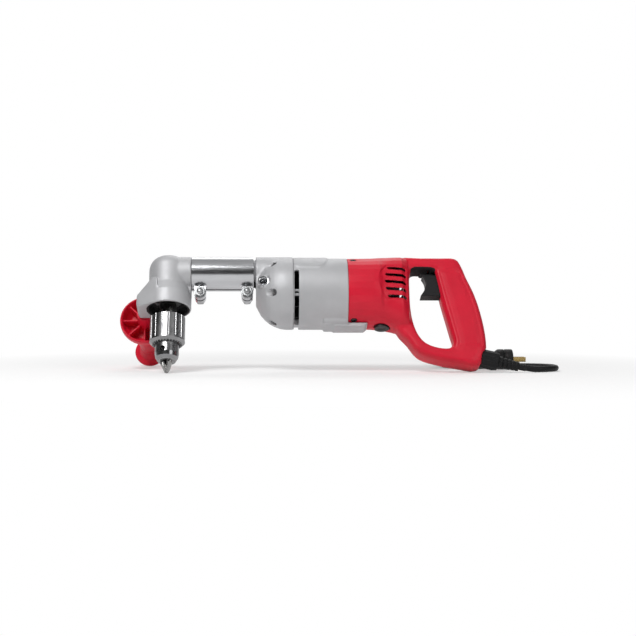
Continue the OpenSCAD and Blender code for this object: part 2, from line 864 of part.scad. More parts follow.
module chuck_sleeve() {
    color("lightgray") difference() {
        rotate_extrude() polygon([
            [sleeve_r - sleeve_wall, -chuck_top - over], [sleeve_r - over, -chuck_top - over],
            [sleeve_r, -chuck_top - 2 * over], [sleeve_r, -sleeve_bottom + crown_h],
            [crown_inner_r + over, -sleeve_bottom], [crown_inner_r, -sleeve_bottom],
            [crown_inner_r, -sleeve_bottom + crown_floor - gap],
            [sleeve_r - sleeve_wall, -sleeve_bottom + crown_floor - gap]
        ]);
        for (k = [0:flute_count - 1])
            rotate([0, 0, 360 * (k + 0.3) / flute_count])
                rod_z(-sleeve_bottom + crown_h + 2 * over, -chuck_top, flute_r,
                      sleeve_r + flute_sink_share * flute_r);
        for (k = [0:key_teeth - 1])
            rotate([0, 0, 360 * k / key_teeth])
                translate([crown_inner_r - over, 0, -sleeve_bottom]) rotate([0, 90, 0])
                    rotate([0, 0, 45]) cylinder(h = sleeve_r, r = tooth_r, $fn = 4);
    }
}

module chuck_nut() {
    color("gray") difference() {
        rod_z(-nut_top - nut_h, -nut_top - gap, sleeve_r - sleeve_wall - fit);
        rod_z(-nut_top - nut_h - over, -nut_top, nut_inner_r);
    }
}

// Round jaw cut to a third of the circle, with a pointed tip and a hollow gripping face
module jaw(turn) {
    color("silver") intersection() {
        difference() {
            on_jaw_axis(turn) cylinder(h = jaw_len, r = jaw_r);
            rod_z(-tip_depth - over, -tip_depth + jaw_len, jaw_hole_r);
            rod_z(-tip_depth - 2 * over, -tip_depth, sleeve_r);
        }
        rotate_extrude() polygon([
            [0, -tip_depth], [jaw_cone_r, -tip_depth],
            [jaw_cone_r + jaw_cone_h / 2, -tip_depth + jaw_cone_h],
            [sleeve_r, -tip_depth + jaw_cone_h], [sleeve_r, 0], [0, 0]
        ]);
        rotate([0, 0, turn]) translate([0, 0, -tip_depth]) linear_extrude(jaw_len) polygon([
            [jaw_split / 2 / sin(60), 0], [sleeve_r, -sleeve_r * tan(60)], [sleeve_r, sleeve_r * tan(60)]
        ]);
    }
}

module jaw_1() { jaw(jaw_turn_angle); }

module jaw_2() { jaw(jaw_turn_angle + 120); }

module jaw_3() { jaw(jaw_turn_angle + 240); }

// Clamp sleeve

module clamp_sleeve() {
    color("lightsteelblue") difference() {
        union() {
            rod_x(clamp_x0, clamp_x1, clamp_r);
            for (x = bolt_x)
                across(lug_plate) union() {
                    translate([x, -bolt_depth]) circle(lug_w / 2);
                    translate([x - lug_w / 2, -bolt_depth]) square([lug_w, bolt_depth - neck_r]);
                }
        }
        rod_x(clamp_x0 - over, clamp_x1 + over, neck_r + fit);
        block([clamp_x0 - over, -slit_w / 2, -bolt_depth - lug_w], [clamp_x1 + over, slit_w / 2, 0]);
        for (x = bolt_x)
            rod_y(-lug_plate - over, lug_plate + over, bolt_r + fit, x, -bolt_depth);
    }
}

module clamp_bolts() {
    color("gainsboro") for (x = bolt_x) {
        translate([x, -lug_plate, -bolt_depth]) rotate([90, 0, 0])
            cylinder(h = bolt_head_h, r = bolt_head_r, $fn = 6);
        rod_y(-lug_plate, lug_plate + bolt_head_h + bolt_tail, bolt_r, x, -bolt_depth);
    }
}

module clamp_nuts() {
    color("gainsboro") for (x = bolt_x)
        difference() {
            translate([x, lug_plate, -bolt_depth]) rotate([-90, 0, 0])
                cylinder(h = bolt_head_h, r = nut_hex_r, $fn = 6);
            rod_y(lug_plate - over, lug_plate + bolt_head_h + over, bolt_r + fit, x, -bolt_depth);
        }
}

// Gear case

// Radius of the rounded front of the gear case at a place along X
function dome_r(x) = barrel_r * sqrt(1 - pow(min(0, x - dome_x) / dome_len, 2));

module screw_places() {
    for (a = screw_angles)
        translate([0, screw_ring_r * cos(a), screw_ring_r * sin(a) - motor_drop]) children();
}

module gear_case() {
    front_share = [for (k = [0:10]) 1 - pow(1 - k / 10, 1.6)];
    color("silver") difference() {
        union() {
            turned_x(concat(
                [[0, case_front]],
                [for (s = front_share)
                    let (x = case_front + s * (dome_x - case_front)) [dome_r(x), x]],
                [[barrel_r, case_back], [0, case_back]]
            ), 0, -motor_drop);
            rod_x(case_front, case_back, nose_case_r);
            rod_x(case_neck_start, case_front + over, neck_r);
            block([case_front, -nose_web_half, -motor_drop], [dome_x, nose_web_half, 0]);
            for (s = [-1, 1])
                scale([1, s, 1]) rod_y(-case_boss_y - over, 0, case_boss_r, case_boss_x, -case_boss_drop);
        }
        difference() {
            turned_x([
                [0, gear_floor], [dome_r(gear_floor) - barrel_wall, gear_floor],
                [barrel_r - barrel_wall, stage1_x - over], [barrel_r - barrel_wall, case_back + over],
                [0, case_back + over]
            ], 0, -motor_drop);
            screw_places() rod_x(0, case_back + 2 * over, screw_boss_r);
        }
        rod_x(gear_floor, case_back + over, m2 * (spindle_n / 2 + addendum_share) + over);
        rod_x(case_neck_start - over, front_bearing_x + bearing_w, front_bearing_r);
        rod_x(case_neck_start, gear_floor + over, spindle_bore_r);
        rod_x(gear_floor - bearing_w, gear_floor + over, front_bearing_r);
        rod_x(gear_floor - idler_bush_len, gear_floor + over, idler_bush_r, idler_y, idler_z);
        for (s = [-1, 1]) {
            rod_y(s > 0 ? case_boss_y - case_hole_len : -case_boss_y - over,
                  s > 0 ? case_boss_y + over : case_hole_len - case_boss_y,
                  stud_r, case_boss_x, -case_boss_drop);
            rod_y(s > 0 ? case_boss_y : -barrel_r, s > 0 ? barrel_r : -case_boss_y,
                  case_boss_r + gap, case_boss_x, -case_boss_drop);
        }
        screw_places() {
            rod_x(case_front - over, screw_seat, screw_head_r + gap);
            rod_x(case_front, case_back + over, screw_r + fit);
        }
    }
}

module gear_case_screws() {
    color("dimgray") screw_places() {
        rod_x(screw_seat - screw_head_h, screw_seat, screw_head_r);
        rod_x(screw_seat, case_back + housing_boss_len - over, screw_r);
    }
}

module bearing_plate() {
    color("silver") difference() {
        rod_x(plate_x, case_back, barrel_r - barrel_wall - fit, 0, -motor_drop);
        screw_places() rod_x(0, case_back + over, screw_boss_r + fit);
        rod_x(plate_x - over, case_back + over, motor_bearing_r, 0, -motor_drop);
        rod_x(plate_x - over, case_back + over, idler_bush_r, idler_y, idler_z);
    }
}

module drive_spindle() {
    color("darkgray") turned_x([
        [0, socket_floor + over], [spindle_r, socket_floor + over],
        [spindle_r, front_bearing_x + bearing_w + over],
        [spindle_body_r, front_bearing_x + bearing_w + over],
        [spindle_body_r, gear_floor - bearing_w - over],
        [spindle_r, gear_floor - bearing_w - over], [spindle_r, stage2_x + stage2_w + gap],
        [0, stage2_x + stage2_w + gap]
    ]);
}

// Turn of the idler's place about an axis, seen along X
idler_from_motor = atan2(idler_up, idler_y);
idler_from_spindle = atan2(idler_z, idler_y);

module spindle_gear() {
    color("gray") difference() {
        along_x(stage2_x, stage2_x + stage2_w)
            rotate(idler_from_spindle + 180 / spindle_n) spur_outline(spindle_n, m2);
        rod_x(0, case_back, spindle_r + fit);
    }
}

module spindle_bearing_front() {
    color("gray") bearing_x(front_bearing_x, front_bearing_r - fit, spindle_r + fit, bearing_w);
}

module spindle_bearing_rear() {
    color("gray") bearing_x(gear_floor - bearing_w, front_bearing_r - fit, spindle_r + fit, bearing_w);
}

module idler_gear() {
    color("gray") difference() {
        translate([0, idler_y, idler_z]) along_x(stage1_x, stage1_x + stage1_w)
            rotate(idler_from_motor + 180 + 180 / idler_n) spur_outline(idler_n, m1);
        rod_x(0, case_back, idler_journal_r + fit, idler_y, idler_z);
    }
}

module idler_pinion() {
    color("darkgray") translate([0, idler_y, idler_z]) {
        along_x(stage2_x, stage2_x + stage2_w)
            rotate(idler_from_spindle + 180) spur_outline(idler_pinion_n, m2);
        rod_x(gear_floor - idler_bush_len + over, case_back - over, idler_journal_r);
    }
}

module idler_bushes() {
    color("peru") difference() {
        union() {
            rod_x(gear_floor - idler_bush_len, gear_floor, idler_bush_r - fit, idler_y, idler_z);
            rod_x(plate_x, case_back, idler_bush_r - fit, idler_y, idler_z);
        }
        rod_x(0, case_back + over, idler_journal_r + fit, idler_y, idler_z);
    }
}

// Motor housing

module motor_housing() {
    color("silver") difference() {
        union() {
            rod_x(case_back, housing_end, barrel_r, 0, -motor_drop);
            rod_x(housing_end - over, housing_end + spigot_len, spigot_r, 0, -motor_drop);
            intersection() {
                rod_x(case_back, case_back + deck_back, barrel_r + deck_rise, 0, -motor_drop);
                translate([0, 0, -motor_drop]) linear_extrude(2 * barrel_r) housing_deck();
            }
            housing_keel();
            for (s = [-1, 1])
                rod_x(housing_end - fairing_len, housing_end, fairing_r,
                      s * (barrel_r - fairing_r / 2) * sin(fairing_angle),
                      -motor_drop - (barrel_r - fairing_r / 2) * cos(fairing_angle));
        }
        difference() {
            rod_x(case_back - over, housing_end - over, barrel_r - barrel_wall, 0, -motor_drop);
            screw_places() rod_x(case_back - over, case_back + housing_boss_len, screw_boss_r);
        }
        rod_x(housing_end - 2 * over, housing_end + spigot_len + over,
              spigot_r - spigot_wall, 0, -motor_drop);
        screw_places() rod_x(case_back - over, case_back + housing_boss_len + over, screw_r + fit);
        for (s = [0, 1]) mirror([0, s, 0]) exhaust_slot();
        across(deck_half) polygon([
            [case_back - over, loop_top - notch_h], [case_back - over, loop_top + 2 * notch_h],
            [case_back + 2 * notch_w, loop_top + 2 * notch_h]
        ]);
        handle_front_screw_places()
            cylinder(h = 2 * front_screw_len, r = shell_screw_shank + fit, center = true);
    }
}

// Plan of the raised band along the top, with a rounded back end
module housing_deck() {
    translate([case_back - deck_front, -deck_half]) offset(deck_round) offset(-deck_round)
        square([deck_front + deck_back, 2 * deck_half]);
}

// Tongue under the barrel that runs on under the D-handle
module housing_keel() {
    intersection() {
        difference() {
            turned_x([
                [0, housing_end - housing_len + keel_front],
                [barrel_r, housing_end - housing_len + keel_front],
                [barrel_r + keel_rise, housing_end - housing_len / 4],
                [barrel_r + keel_rise, housing_end + keel_back - keel_rise],
                [barrel_r + keel_lift, housing_end + keel_back], [0, housing_end + keel_back]
            ], 0, -motor_drop);
            rod_x(housing_end, housing_end + keel_back + over, barrel_r + keel_lift, 0, -motor_drop);
        }
        block([case_back, -keel_half, -motor_drop - 2 * barrel_r],
              [housing_end + keel_back, keel_half, -motor_drop]);
    }
}

// Curved slot on one side, from above the middle round to the bottom
module exhaust_slot() {
    translate([exhaust_x, 0, -motor_drop]) rotate([90, 0, 90]) rotate([0, 0, 180 - exhaust_top_angle])
        rotate_extrude(angle = exhaust_sweep_angle)
            translate([barrel_r - barrel_wall - over, 0]) square([2 * barrel_wall, exhaust_w]);
}

module field_stack() {
    color("dimgray") difference() {
        rod_x(field_x, field_x + field_len, barrel_r - barrel_wall - field_gap, 0, -motor_drop);
        rod_x(field_x - over, field_x + field_len + over, field_bore_r, 0, -motor_drop);
        for (a = [coil_spread_angle, 180 - coil_spread_angle, 180 + coil_spread_angle, -coil_spread_angle])
            coil_side(a, coil_w / 2 + coil_gap, coil_in_r - coil_gap, coil_out_r + coil_gap, over);
    }
}

// One straight side of a field coil, at a turn from the upright
module coil_side(turn, half, r_in, r_out, extra) {
    translate([0, 0, -motor_drop]) rotate([turn, 0, 0])
        block([field_x - extra, -half, r_in], [field_x + field_len + extra, half, r_out]);
}

module field_coils() {
    color("chocolate") for (s = [0, 180]) {
        for (a = [-coil_spread_angle, coil_spread_angle])
            coil_side(s + a, coil_w / 2, coil_in_r, coil_out_r, coil_end / 2);
        for (x = [field_x - coil_end, field_x + field_len])
            translate([x, 0, -motor_drop]) rotate([90, 0, 90])
                rotate([0, 0, 90 + s - coil_spread_angle - coil_over_angle])
                    rotate_extrude(angle = 2 * coil_spread_angle + 2 * coil_over_angle)
                        translate([coil_in_r, 0]) square([coil_out_r - coil_in_r, coil_end]);
    }
}

module armature_shaft() {
    color("darkgray") translate([0, 0, -motor_drop]) {
        along_x(stage1_x, plate_x) rotate(idler_from_motor) spur_outline(pinion_n, m1);
        turned_x([
            [0, plate_x - over / 2], [motor_journal_r, plate_x - over / 2],
            [motor_journal_r, case_back + over], [shaft_r, case_back + over],
            [shaft_r, rear_bearing_x - over], [motor_journal_r, rear_bearing_x - over],
            [motor_journal_r, rear_bearing_x + rear_bearing_w], [0, rear_bearing_x + rear_bearing_w]
        ]);
    }
}

module armature_core() {
    color("slategray") translate([0, 0, -motor_drop]) difference() {
        rod_x(field_x, field_x + field_len, core_r);
        rod_x(field_x - over, field_x + field_len + over, shaft_r + fit);
        for (k = [0:core_slots - 1])
            rotate([360 * k / core_slots, 0, 0])
                block([field_x - over, -slot_w / 2, core_r - slot_depth],
                      [field_x + field_len + over, slot_w / 2, core_r + over]);
    }
}

module armature_windings() {
    color("chocolate") translate([0, 0, -motor_drop]) difference() {
        for (x = [field_x - winding_len, field_x + field_len])
            turned_x([
                [0, x], [winding_r - 2 * over, x], [winding_r, x + 2 * over],
                [winding_r, x + winding_len - 2 * over],
                [winding_r - 2 * over, x + winding_len], [0, x + winding_len]
            ]);
        rod_x(field_x - 2 * winding_len, field_x + field_len + 2 * winding_len, shaft_r + fit);
    }
}

module commutator() {
    color("peru") translate([0, 0, -motor_drop]) difference() {
        rod_x(brush_x - comm_len / 2, brush_x + comm_len / 2, comm_r);
        rod_x(brush_x - comm_len, brush_x + comm_len, shaft_r + fit);
        for (k = [0:comm_slots - 1])
            rotate([360 * k / comm_slots, 0, 0])
                block([brush_x - comm_len, -comm_slot_w / 2, comm_r - over],
                      [brush_x + comm_len, comm_slot_w / 2, comm_r + over]);
    }
}

module cooling_fan() {
    color("dimgray") translate([0, 0, -motor_drop]) difference() {
        union() {
            rod_x(fan_x, fan_x + fan_w, fan_hub_r);
            rod_x(fan_x + fan_w - fan_disc, fan_x + fan_w, fan_r);
            for (k = [0:fan_blades - 1])
                rotate([360 * k / fan_blades, 0, 0])
                    block([fan_x, -fan_blade_t / 2, fan_hub_r - over],
                          [fan_x + fan_w, fan_blade_t / 2, fan_r - over]);
        }
        rod_x(fan_x - over, fan_x + fan_w + over, shaft_r + fit);
    }
}

module armature_bearing_front() {
    color("gray") bearing_x(plate_x, motor_bearing_r - fit, motor_journal_r + fit, plate_t, 0, -motor_drop);
}

module armature_bearing_rear() {
    color("gray") bearing_x(rear_bearing_x, motor_bearing_r - fit, motor_journal_r + fit,
                            rear_bearing_w, 0, -motor_drop);
}

// Cage behind the motor: a ring on the housing's spigot, two arms and the seat of the rear bearing
module brush_bracket() {
    ring_x = housing_end + spigot_len;
    ring_in = spigot_r - 2 * spigot_wall;
    color("black") translate([0, 0, -motor_drop]) difference() {
        union() {
            rod_x(ring_x, ring_x + bracket_ring, spigot_r);
            rod_x(rear_bearing_x, rear_bearing_x + rear_bearing_w, hub_plate_r);
            for (s = [-1, 1])
                across_arm(s, ring_x, ring_in);
        }
        rod_x(ring_x - over, ring_x + bracket_ring + over, ring_in - bracket_arm);
        rod_x(rear_bearing_x - over, rear_bearing_x + rear_bearing_w + over, motor_bearing_r);
    }
}

// Arm from the ring back to the bearing seat on one side
module across_arm(s, ring_x, ring_in) {
    translate([0, 0, -bracket_arm_h / 2]) linear_extrude(bracket_arm_h) polygon([
        [ring_x, s * (ring_in + over)], [ring_x, s * (ring_in - bracket_arm)],
        [rear_bearing_x - 2 * bracket_ring, s * (comm_r + 4 * over)],
        [rear_bearing_x, s * (hub_plate_r - over)],
        [rear_bearing_x + rear_bearing_w, s * (motor_bearing_r + over)],
        [rear_bearing_x + rear_bearing_w, s * (hub_plate_r + over)],
        [rear_bearing_x, s * (hub_plate_r + 3 * over)],
        [rear_bearing_x - 2 * bracket_ring, s * (comm_r + bracket_arm + 5 * over)]
    ]);
}

// Heights of the two brush caps' seats above and below the motor axis
cap_seat_up = loop_top + motor_drop - over;
cap_seat_share = 1.05;
cap_seat_down = cap_seat_share * barrel_r;

module brush_pair() {
    translate([brush_x, 0, -motor_drop]) children(0);
    translate([brush_x, 0, -motor_drop]) rotate([180, 0, 0]) children(1);
}

module brush_holder(reach) {
    difference() {
        block([-brush_w / 2 - holder_wall, -brush_t / 2 - holder_wall, comm_r + over],
              [brush_w / 2 + holder_wall, brush_t / 2 + holder_wall, reach]);
        block([-brush_w / 2 - fit, -brush_t / 2 - fit, comm_r],
              [brush_w / 2 + fit, brush_t / 2 + fit, reach + over]);
    }
}

module brush_holders() {
    color("goldenrod") brush_pair() {
        brush_holder(cap_seat_up - cap_h);
        brush_holder(cap_seat_down - cap_h);
    }
}

module carbon_brush() {
    difference() {
        block([-brush_w / 2, -brush_t / 2, comm_r - over], [brush_w / 2, brush_t / 2, comm_r + brush_len]);
        rotate([0, 90, 0]) cylinder(h = 2 * brush_w, r = comm_r + fit, center = true);
    }
}

module carbon_brushes() {
    color("black") brush_pair() {
        carbon_brush();
        carbon_brush();
    }
}

module brush_cap(seat) {
    difference() {
        rod_z(seat - cap_h, seat + over, cap_r);
        block([-cap_r / 2, -cap_slot_w / 2, seat + over - cap_slot_h],
              [cap_r / 2, cap_slot_w / 2, seat + 2 * over]);
    }
}

module brush_caps() {
    color("black") brush_pair() {
        brush_cap(cap_seat_up);
        brush_cap(cap_seat_down);
    }
}

// D-handle

// Ring across the D loop between its two outlines, as a rounded box
function loop_ring(p, q, half, sides) =
    [for (j = [0:sides - 1])
        let (c = signed_power(cos(360 * (j + 0.35) / sides), loop_round))
        let (s = signed_power(sin(360 * (j + 0.35) / sides), loop_round))
        let (m = (p + q) / 2 + (p - q) / 2 * c)
        [m[0], -half * s, m[1]]];

function loop_points(shares) =
    [for (s = shares) [loop_x + s[0] * loop_len, loop_top - s[1] * loop_h]];

// D loop, drawn in by a wall for its hollow
module loop_solid(wall, sides) {
    outer = closed_curve(loop_points(outer_shares), loop_steps);
    inner = closed_curve(loop_points(inner_shares), loop_steps);
    skin([for (i = [0:len(outer) - 1])
        let (d = unit(outer[i] - inner[i]))
        loop_ring(outer[i] - wall * d, inner[i] + wall * d, loop_half - wall, sides)], true);
}

// Barrel that narrows from the motor housing to the D loop
module barrel_solid(wall, start, sides) {
    skin([for (k = [0:len(barrel_x_shares) - 1])
        let (half = barrel_half_shares[k] * barrel_r - wall)
        let (up = barrel_top_shares[k] * barrel_r - wall)
        let (down = barrel_bottom_shares[k] * barrel_r - wall)
        let (last = k == len(barrel_x_shares) - 1 ? wall : 0)
        [for (j = [0:sides - 1])
            let (c = signed_power(cos(360 * (j + 0.35) / sides), barrel_square[k]))
            let (s = signed_power(sin(360 * (j + 0.35) / sides), barrel_square[k]))
            [housing_end + barrel_x_shares[k] * barrel_len - last - (k == 0 ? start : 0),
             half * c, -motor_drop + (s > 0 ? up : down) * s]]
    ], false);
}

module handle_front_screw_places() {
    for (a = front_screw_angles)
        for (s = [0, 1]) mirror([0, s, 0])
            translate([front_screw_x, 0, -motor_drop]) rotate([90 - a, 0, 0])
                translate([0, 0, barrel_r]) children();
}

module handle_shells() {
    difference() {
        union() {
            loop_solid(0, loop_sides);
            barrel_solid(0, 0, barrel_sides);
        }
        difference() {
            union() {
                loop_solid(shell_wall, 12);
                barrel_solid(shell_wall, over, barrel_sides);
            }
            shell_screw_places()
                rotate([90, 0, 0]) hull() {
                    cylinder(h = 4 * loop_half, r = shell_boss_r, center = true, $fn = 16);
                    cylinder(h = loop_half, r = shell_boss_r + over, center = true, $fn = 16);
                }
        }
        for (s = [-1, 1]) for (k = [0:vent_count - 1]) vent_slot(s, k);
        block([window_x, -window_half, -window_drop], [window_x + window_len, window_half, window_top]);
        rod_z(-motor_drop, 2 * barrel_r, cap_r + gap, brush_x);
        rod_z(-motor_drop - 2 * barrel_r, -motor_drop, cap_r + gap, brush_x);
        on_exit_axis() {
            cylinder(h = 2 * collar_len, r = collar_r + collar_rib_r + gap, $fn = 32);
            translate([0, 0, -collar_neck - over])
                cylinder(h = 2 * collar_neck, r = collar_neck_r + gap, $fn = 32);
        }
        handle_front_screw_places() {
            translate([0, 0, -front_screw_head_h])
                cylinder(h = collar_len, r = front_screw_head_r + gap, $fn = 20);
            cylinder(h = 2 * front_screw_len, r = shell_screw_shank + gap, center = true, $fn = 12);
        }
        shell_screw_places() {
            rotate([-90, 0, 0]) cylinder(h = loop_half, r = shell_screw_shank + gap, $fn = 12);
            rotate([90, 0, 0]) cylinder(h = loop_half / 2, r = shell_screw_shank + gap, $fn = 12);
            translate([0, loop_half / 2, 0]) rotate([-90, 0, 0])
                cylinder(h = 3 * loop_half, r = shell_screw_r + gap, $fn = 20);
        }
    }
}

// Slot with round ends through one side of the barrel
module vent_slot(s, k) {
    z = -vent_top - vent_pitch * k;
    back = housing_end + vent_end - vent_h / 2;
    front = back - vent_lengths_share[k] * barrel_len + vent_h / 2;
    hull()
        for (x = [front, back])
            translate([x, s * 2 * loop_half, z]) rotate([90, 0, 0])
                cylinder(h = 2 * loop_half, r = vent_h / 2, center = true, $fn = 12);
}

module shell_screw_places() {
    for (p = loop_points(shell_screw_shares)) translate([p[0], 0, p[1]]) children();
}

module handle_left() {
    color("crimson") intersection() {
        handle_shells();
        block([0, -2 * barrel_r, -2 * loop_h], [2 * (loop_x + loop_len), 0, loop_h]);
    }
}

module handle_right() {
    color("crimson") intersection() {
        handle_shells();
        block([0, 0, -2 * loop_h], [2 * (loop_x + loop_len), 2 * barrel_r, loop_h]);
    }
}

module handle_front_screws() {
    color("dimgray") handle_front_screw_places() {
        translate([0, 0, -front_screw_head_h]) cylinder(h = front_screw_head_h, r = front_screw_head_r);
        translate([0, 0, -front_screw_len]) cylinder(h = front_screw_len - over, r = shell_screw_shank);
    }
}

module shell_screws() {
    color("dimgray") shell_screw_places() {
        rod_y(loop_half / 2, loop_half / 2 + 2 * over, shell_screw_r);
        rod_y(-loop_half / 2 + over, loop_half / 2 + over, shell_screw_shank);
    }
}

// Switch, trigger and reversing lever

module switch_body() {
    color("black") difference() {
        union() {
            block([switch_x, -switch_half, -switch_top - switch_h],
                  [switch_x + switch_len, switch_half, -lever_top + pivot_plate + 2 * pivot_gap]);
            block([lever_pivot - pivot_half, -pivot_half, -lever_top + pivot_gap],
                  [switch_x + over, pivot_half, -lever_top + pivot_gap + pivot_plate]);
        }
        rod_x(switch_x - over, switch_x + switch_len - over, plunger_r + gap,
              0, -trigger_top - trigger_h / 2);
        rod_z(-lever_top, -lever_top + 2 * pivot_plate, pivot_r + fit, lever_pivot);
    }
}

// Finger lever with a hollow front and a lip at its foot
module trigger() {
    front = [for (k = [0:trigger_steps])
        let (u = k / trigger_steps)
        [trigger_front + trigger_hollow * pow(sin(180 * pow(u, 0.8)), 1.2) - trigger_lip * pow(u, 6),
         -trigger_top - trigger_h * u]];
    color("black") {
        across(trigger_half) polygon(concat(
            front, [[trigger_back, -trigger_top - trigger_h], [trigger_back, -trigger_top]]
        ));
        rod_x(trigger_back - over, trigger_back + plunger_len, plunger_r, 0, -trigger_top - trigger_h / 2);
    }
}

module reverse_lever() {
    color("black") {
        translate([0, 0, -lever_top - lever_h]) linear_extrude(lever_h) union() {
            translate([lever_front, -lever_w / 2]) square([lever_pivot - lever_front, lever_w]);
            translate([lever_pivot, 0]) circle(lever_w / 2);
            translate([lever_front, 0]) circle(lever_w / 2);
        }
        rod_z(-lever_top - over, -lever_top + pivot_gap + pivot_plate - fit, pivot_r, lever_pivot);
    }
}

// Cord exit

module on_exit_axis() {
    translate([exit_x, 0, -exit_depth]) rotate([0, 90 + exit_angle, 0]) children();
}

module cord_collar() {
    color("black") on_exit_axis() difference() {
        union() {
            rotate_extrude() polygon([
                [0, -collar_neck], [collar_neck_r, -collar_neck], [collar_neck_r, 0], [collar_r, 0],
                [collar_r, collar_len - 4 * over], [collar_r - over, collar_len], [0, collar_len]
            ]);
            for (k = [0:collar_ribs - 1])
                rotate([0, 0, 360 * k / collar_ribs])
                    translate([collar_r - collar_rib_r / 2, 0, 2 * over])
                        cylinder(h = collar_len - 7 * over, r = collar_rib_r);
        }
    }
}

module strain_relief() {
    color("black") on_exit_axis() difference() {
        translate([0, 0, collar_len]) cylinder(h = relief_len, r1 = relief_r, r2 = relief_end_r);
        for (k = [1:relief_grooves])
            translate([0, 0, collar_len + relief_len * k / (relief_grooves + 1)]) difference() {
                cylinder(h = groove_w, r = 2 * relief_r);
                translate([0, 0, -over])
                    cylinder(h = groove_w + 2 * over, r = relief_end_r - groove_depth + over);
            }
    }
}

// Cord on the ground: a free stretch, then a tied hank of loops in two layers

// Half width of the hank at a count of loops, drawn in to the middle of the pile and out again
function hank_half(t) =
    hank_out - hank_pitch * min(t, hank_loops / 2, hank_loops + hank_dwell - t)
    + hank_flare * (1 - cos(180 * min(1, max(0, (t - hank_loops + 1 / 3) * 6)))) / 2;

// Share of the way up to the second layer, climbed along the run where the spiral turns round
function hank_climb(t) = min(1, max(0, (t - hank_loops / 2) * hank_rings / 8));

function hank_waist(y) = (1 + cos(180 * min(1, abs(y) / hank_run))) / 2;

// Point of the hank: up one run, round the far end, down the other run and round the near end
function hank_point(t) =
    let (u = (t - floor(t)) * hank_rings)
    let (a = hank_half(t))
    let (z = hank_z + hank_layer * hank_climb(t))
    let (y = u < 8 ? hank_run * (u / 4 - 1) : u < 12 ? hank_run + a * sin(45 * (u - 8))
        : u < 20 ? hank_run * (1 - (u - 12) / 4) : -hank_run - a * sin(45 * (u - 20)))
    let (side = u < 8 ? 1 : u < 12 ? cos(45 * (u - 8)) : u < 20 ? -1 : -cos(45 * (u - 20)))
    let (draw = abs(y) < hank_run ? hank_draw * hank_waist(y) : 0)
    [hank_x + side * (a - draw), hank_y + y, z + (abs(y) < hank_run ? hank_lift * hank_waist(y) : 0)];

hank_start = hank_point(0) - [0, 2 * cord_r, 0];
hank_stop = hank_point(hank_end) + [2 * cord_r, 0, 0];
hank_points = concat(
    [hank_start], [for (i = [0:round(hank_end * hank_rings)]) hank_point(i / hank_rings)], [hank_stop]
);
cord_points = concat(
    [exit_point, exit_point + exit_lead * exit_way],
    cord_route, [hank_start - [0, 2 * cord_r, 0], hank_start]
);
hank_least = min([for (i = [0:len(hank_points) - 1]) for (j = [i + 8:1:len(hank_points) - 1])
    norm(hank_points[i] - hank_points[j])]) - 2 * cord_r;
echo(hank_least_gap = hank_least);
function run_length(points) = [for (i = [1:len(points) - 1]) norm(points[i] - points[i - 1])];
function total(list, i = 0) = i < len(list) ? list[i] + total(list, i + 1) : 0;
echo(cord_length = total(run_length(cord_points)) + total(run_length(hank_points)));

module cord() {
    color("black") skin(tube_rings(cord_points, cord_r, 8), false);
}

module cord_hank() {
    color("black") skin(tube_rings(hank_points, cord_r, hank_sides), false);
}

module cord_tie() {
    half = hank_out - hank_draw + cord_r + 2 * over;
    top = hank_z + hank_layer + hank_lift + cord_r + tie_t;
    color("black") translate([hank_x, hank_y + tie_w / 2, 0]) rotate([90, 0, 0])
        linear_extrude(tie_w) difference() {
        translate([-half - tie_t, 0]) square([2 * half + 2 * tie_t, top + tie_t]);
        translate([-half, tie_t]) square([2 * half, top - tie_t]);
    }
}

plug_at = hank_points[len(hank_points) - 1];

module plug_body() {
    color("black") translate(plug_at) rotate([0, 90, 0]) rotate_extrude() polygon([
        [0, 0], [plug_neck_r, 0], [plug_neck_r + over, plug_len / 3],
        [plug_r, plug_len / 2], [plug_r, plug_len],
        [0, plug_len]
    ]);
}

module plug_blades() {
    color("goldenrod") translate(plug_at) for (s = [-1, 1])
        block([plug_len, s * blade_gap / 2 - blade_t / 2, -blade_w / 2],
              [plug_len + blade_len, s * blade_gap / 2 + blade_t / 2, blade_w / 2]);
}

stand() head_casting();
stand() head_input_bearing();
stand() head_output_bearing();
stand() head_top_bush();
stand() head_retainer();
stand() side_handle_grip();
stand() side_handle_stud();
stand() input_shaft();
stand() bevel_pinion();
stand() output_spindle();
stand() bevel_gear();
stand() chuck_body();
stand() chuck_sleeve();
stand() chuck_nut();
stand() jaw_1();
stand() jaw_2();
stand() jaw_3();
stand() clamp_sleeve();
stand() clamp_bolts();
stand() clamp_nuts();
stand() gear_case();
stand() gear_case_screws();
stand() bearing_plate();
stand() drive_spindle();
stand() spindle_gear();
stand() spindle_bearing_front();
stand() spindle_bearing_rear();
stand() idler_gear();
stand() idler_pinion();
stand() idler_bushes();
stand() motor_housing();
stand() field_stack();
stand() field_coils();
stand() armature_shaft();
stand() armature_core();
stand() armature_windings();
stand() commutator();
stand() cooling_fan();
stand() armature_bearing_front();
stand() armature_bearing_rear();
stand() brush_bracket();
stand() brush_holders();
stand() carbon_brushes();
stand() brush_caps();
stand() handle_left();
stand() handle_right();
stand() handle_front_screws();
stand() shell_screws();
stand() switch_body();
stand() trigger();
stand() reverse_lever();
stand() cord_collar();
stand() strain_relief();
cord();
cord_hank();
cord_tie();
plug_body();
plug_blades();
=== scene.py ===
"""Right angle drill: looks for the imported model.

Lengths are in millimetres, but the camera, the floor and the lights are in metres.
"""
import bpy
import bmesh
import json
import math
import numpy as np
from mathutils import Matrix, Vector


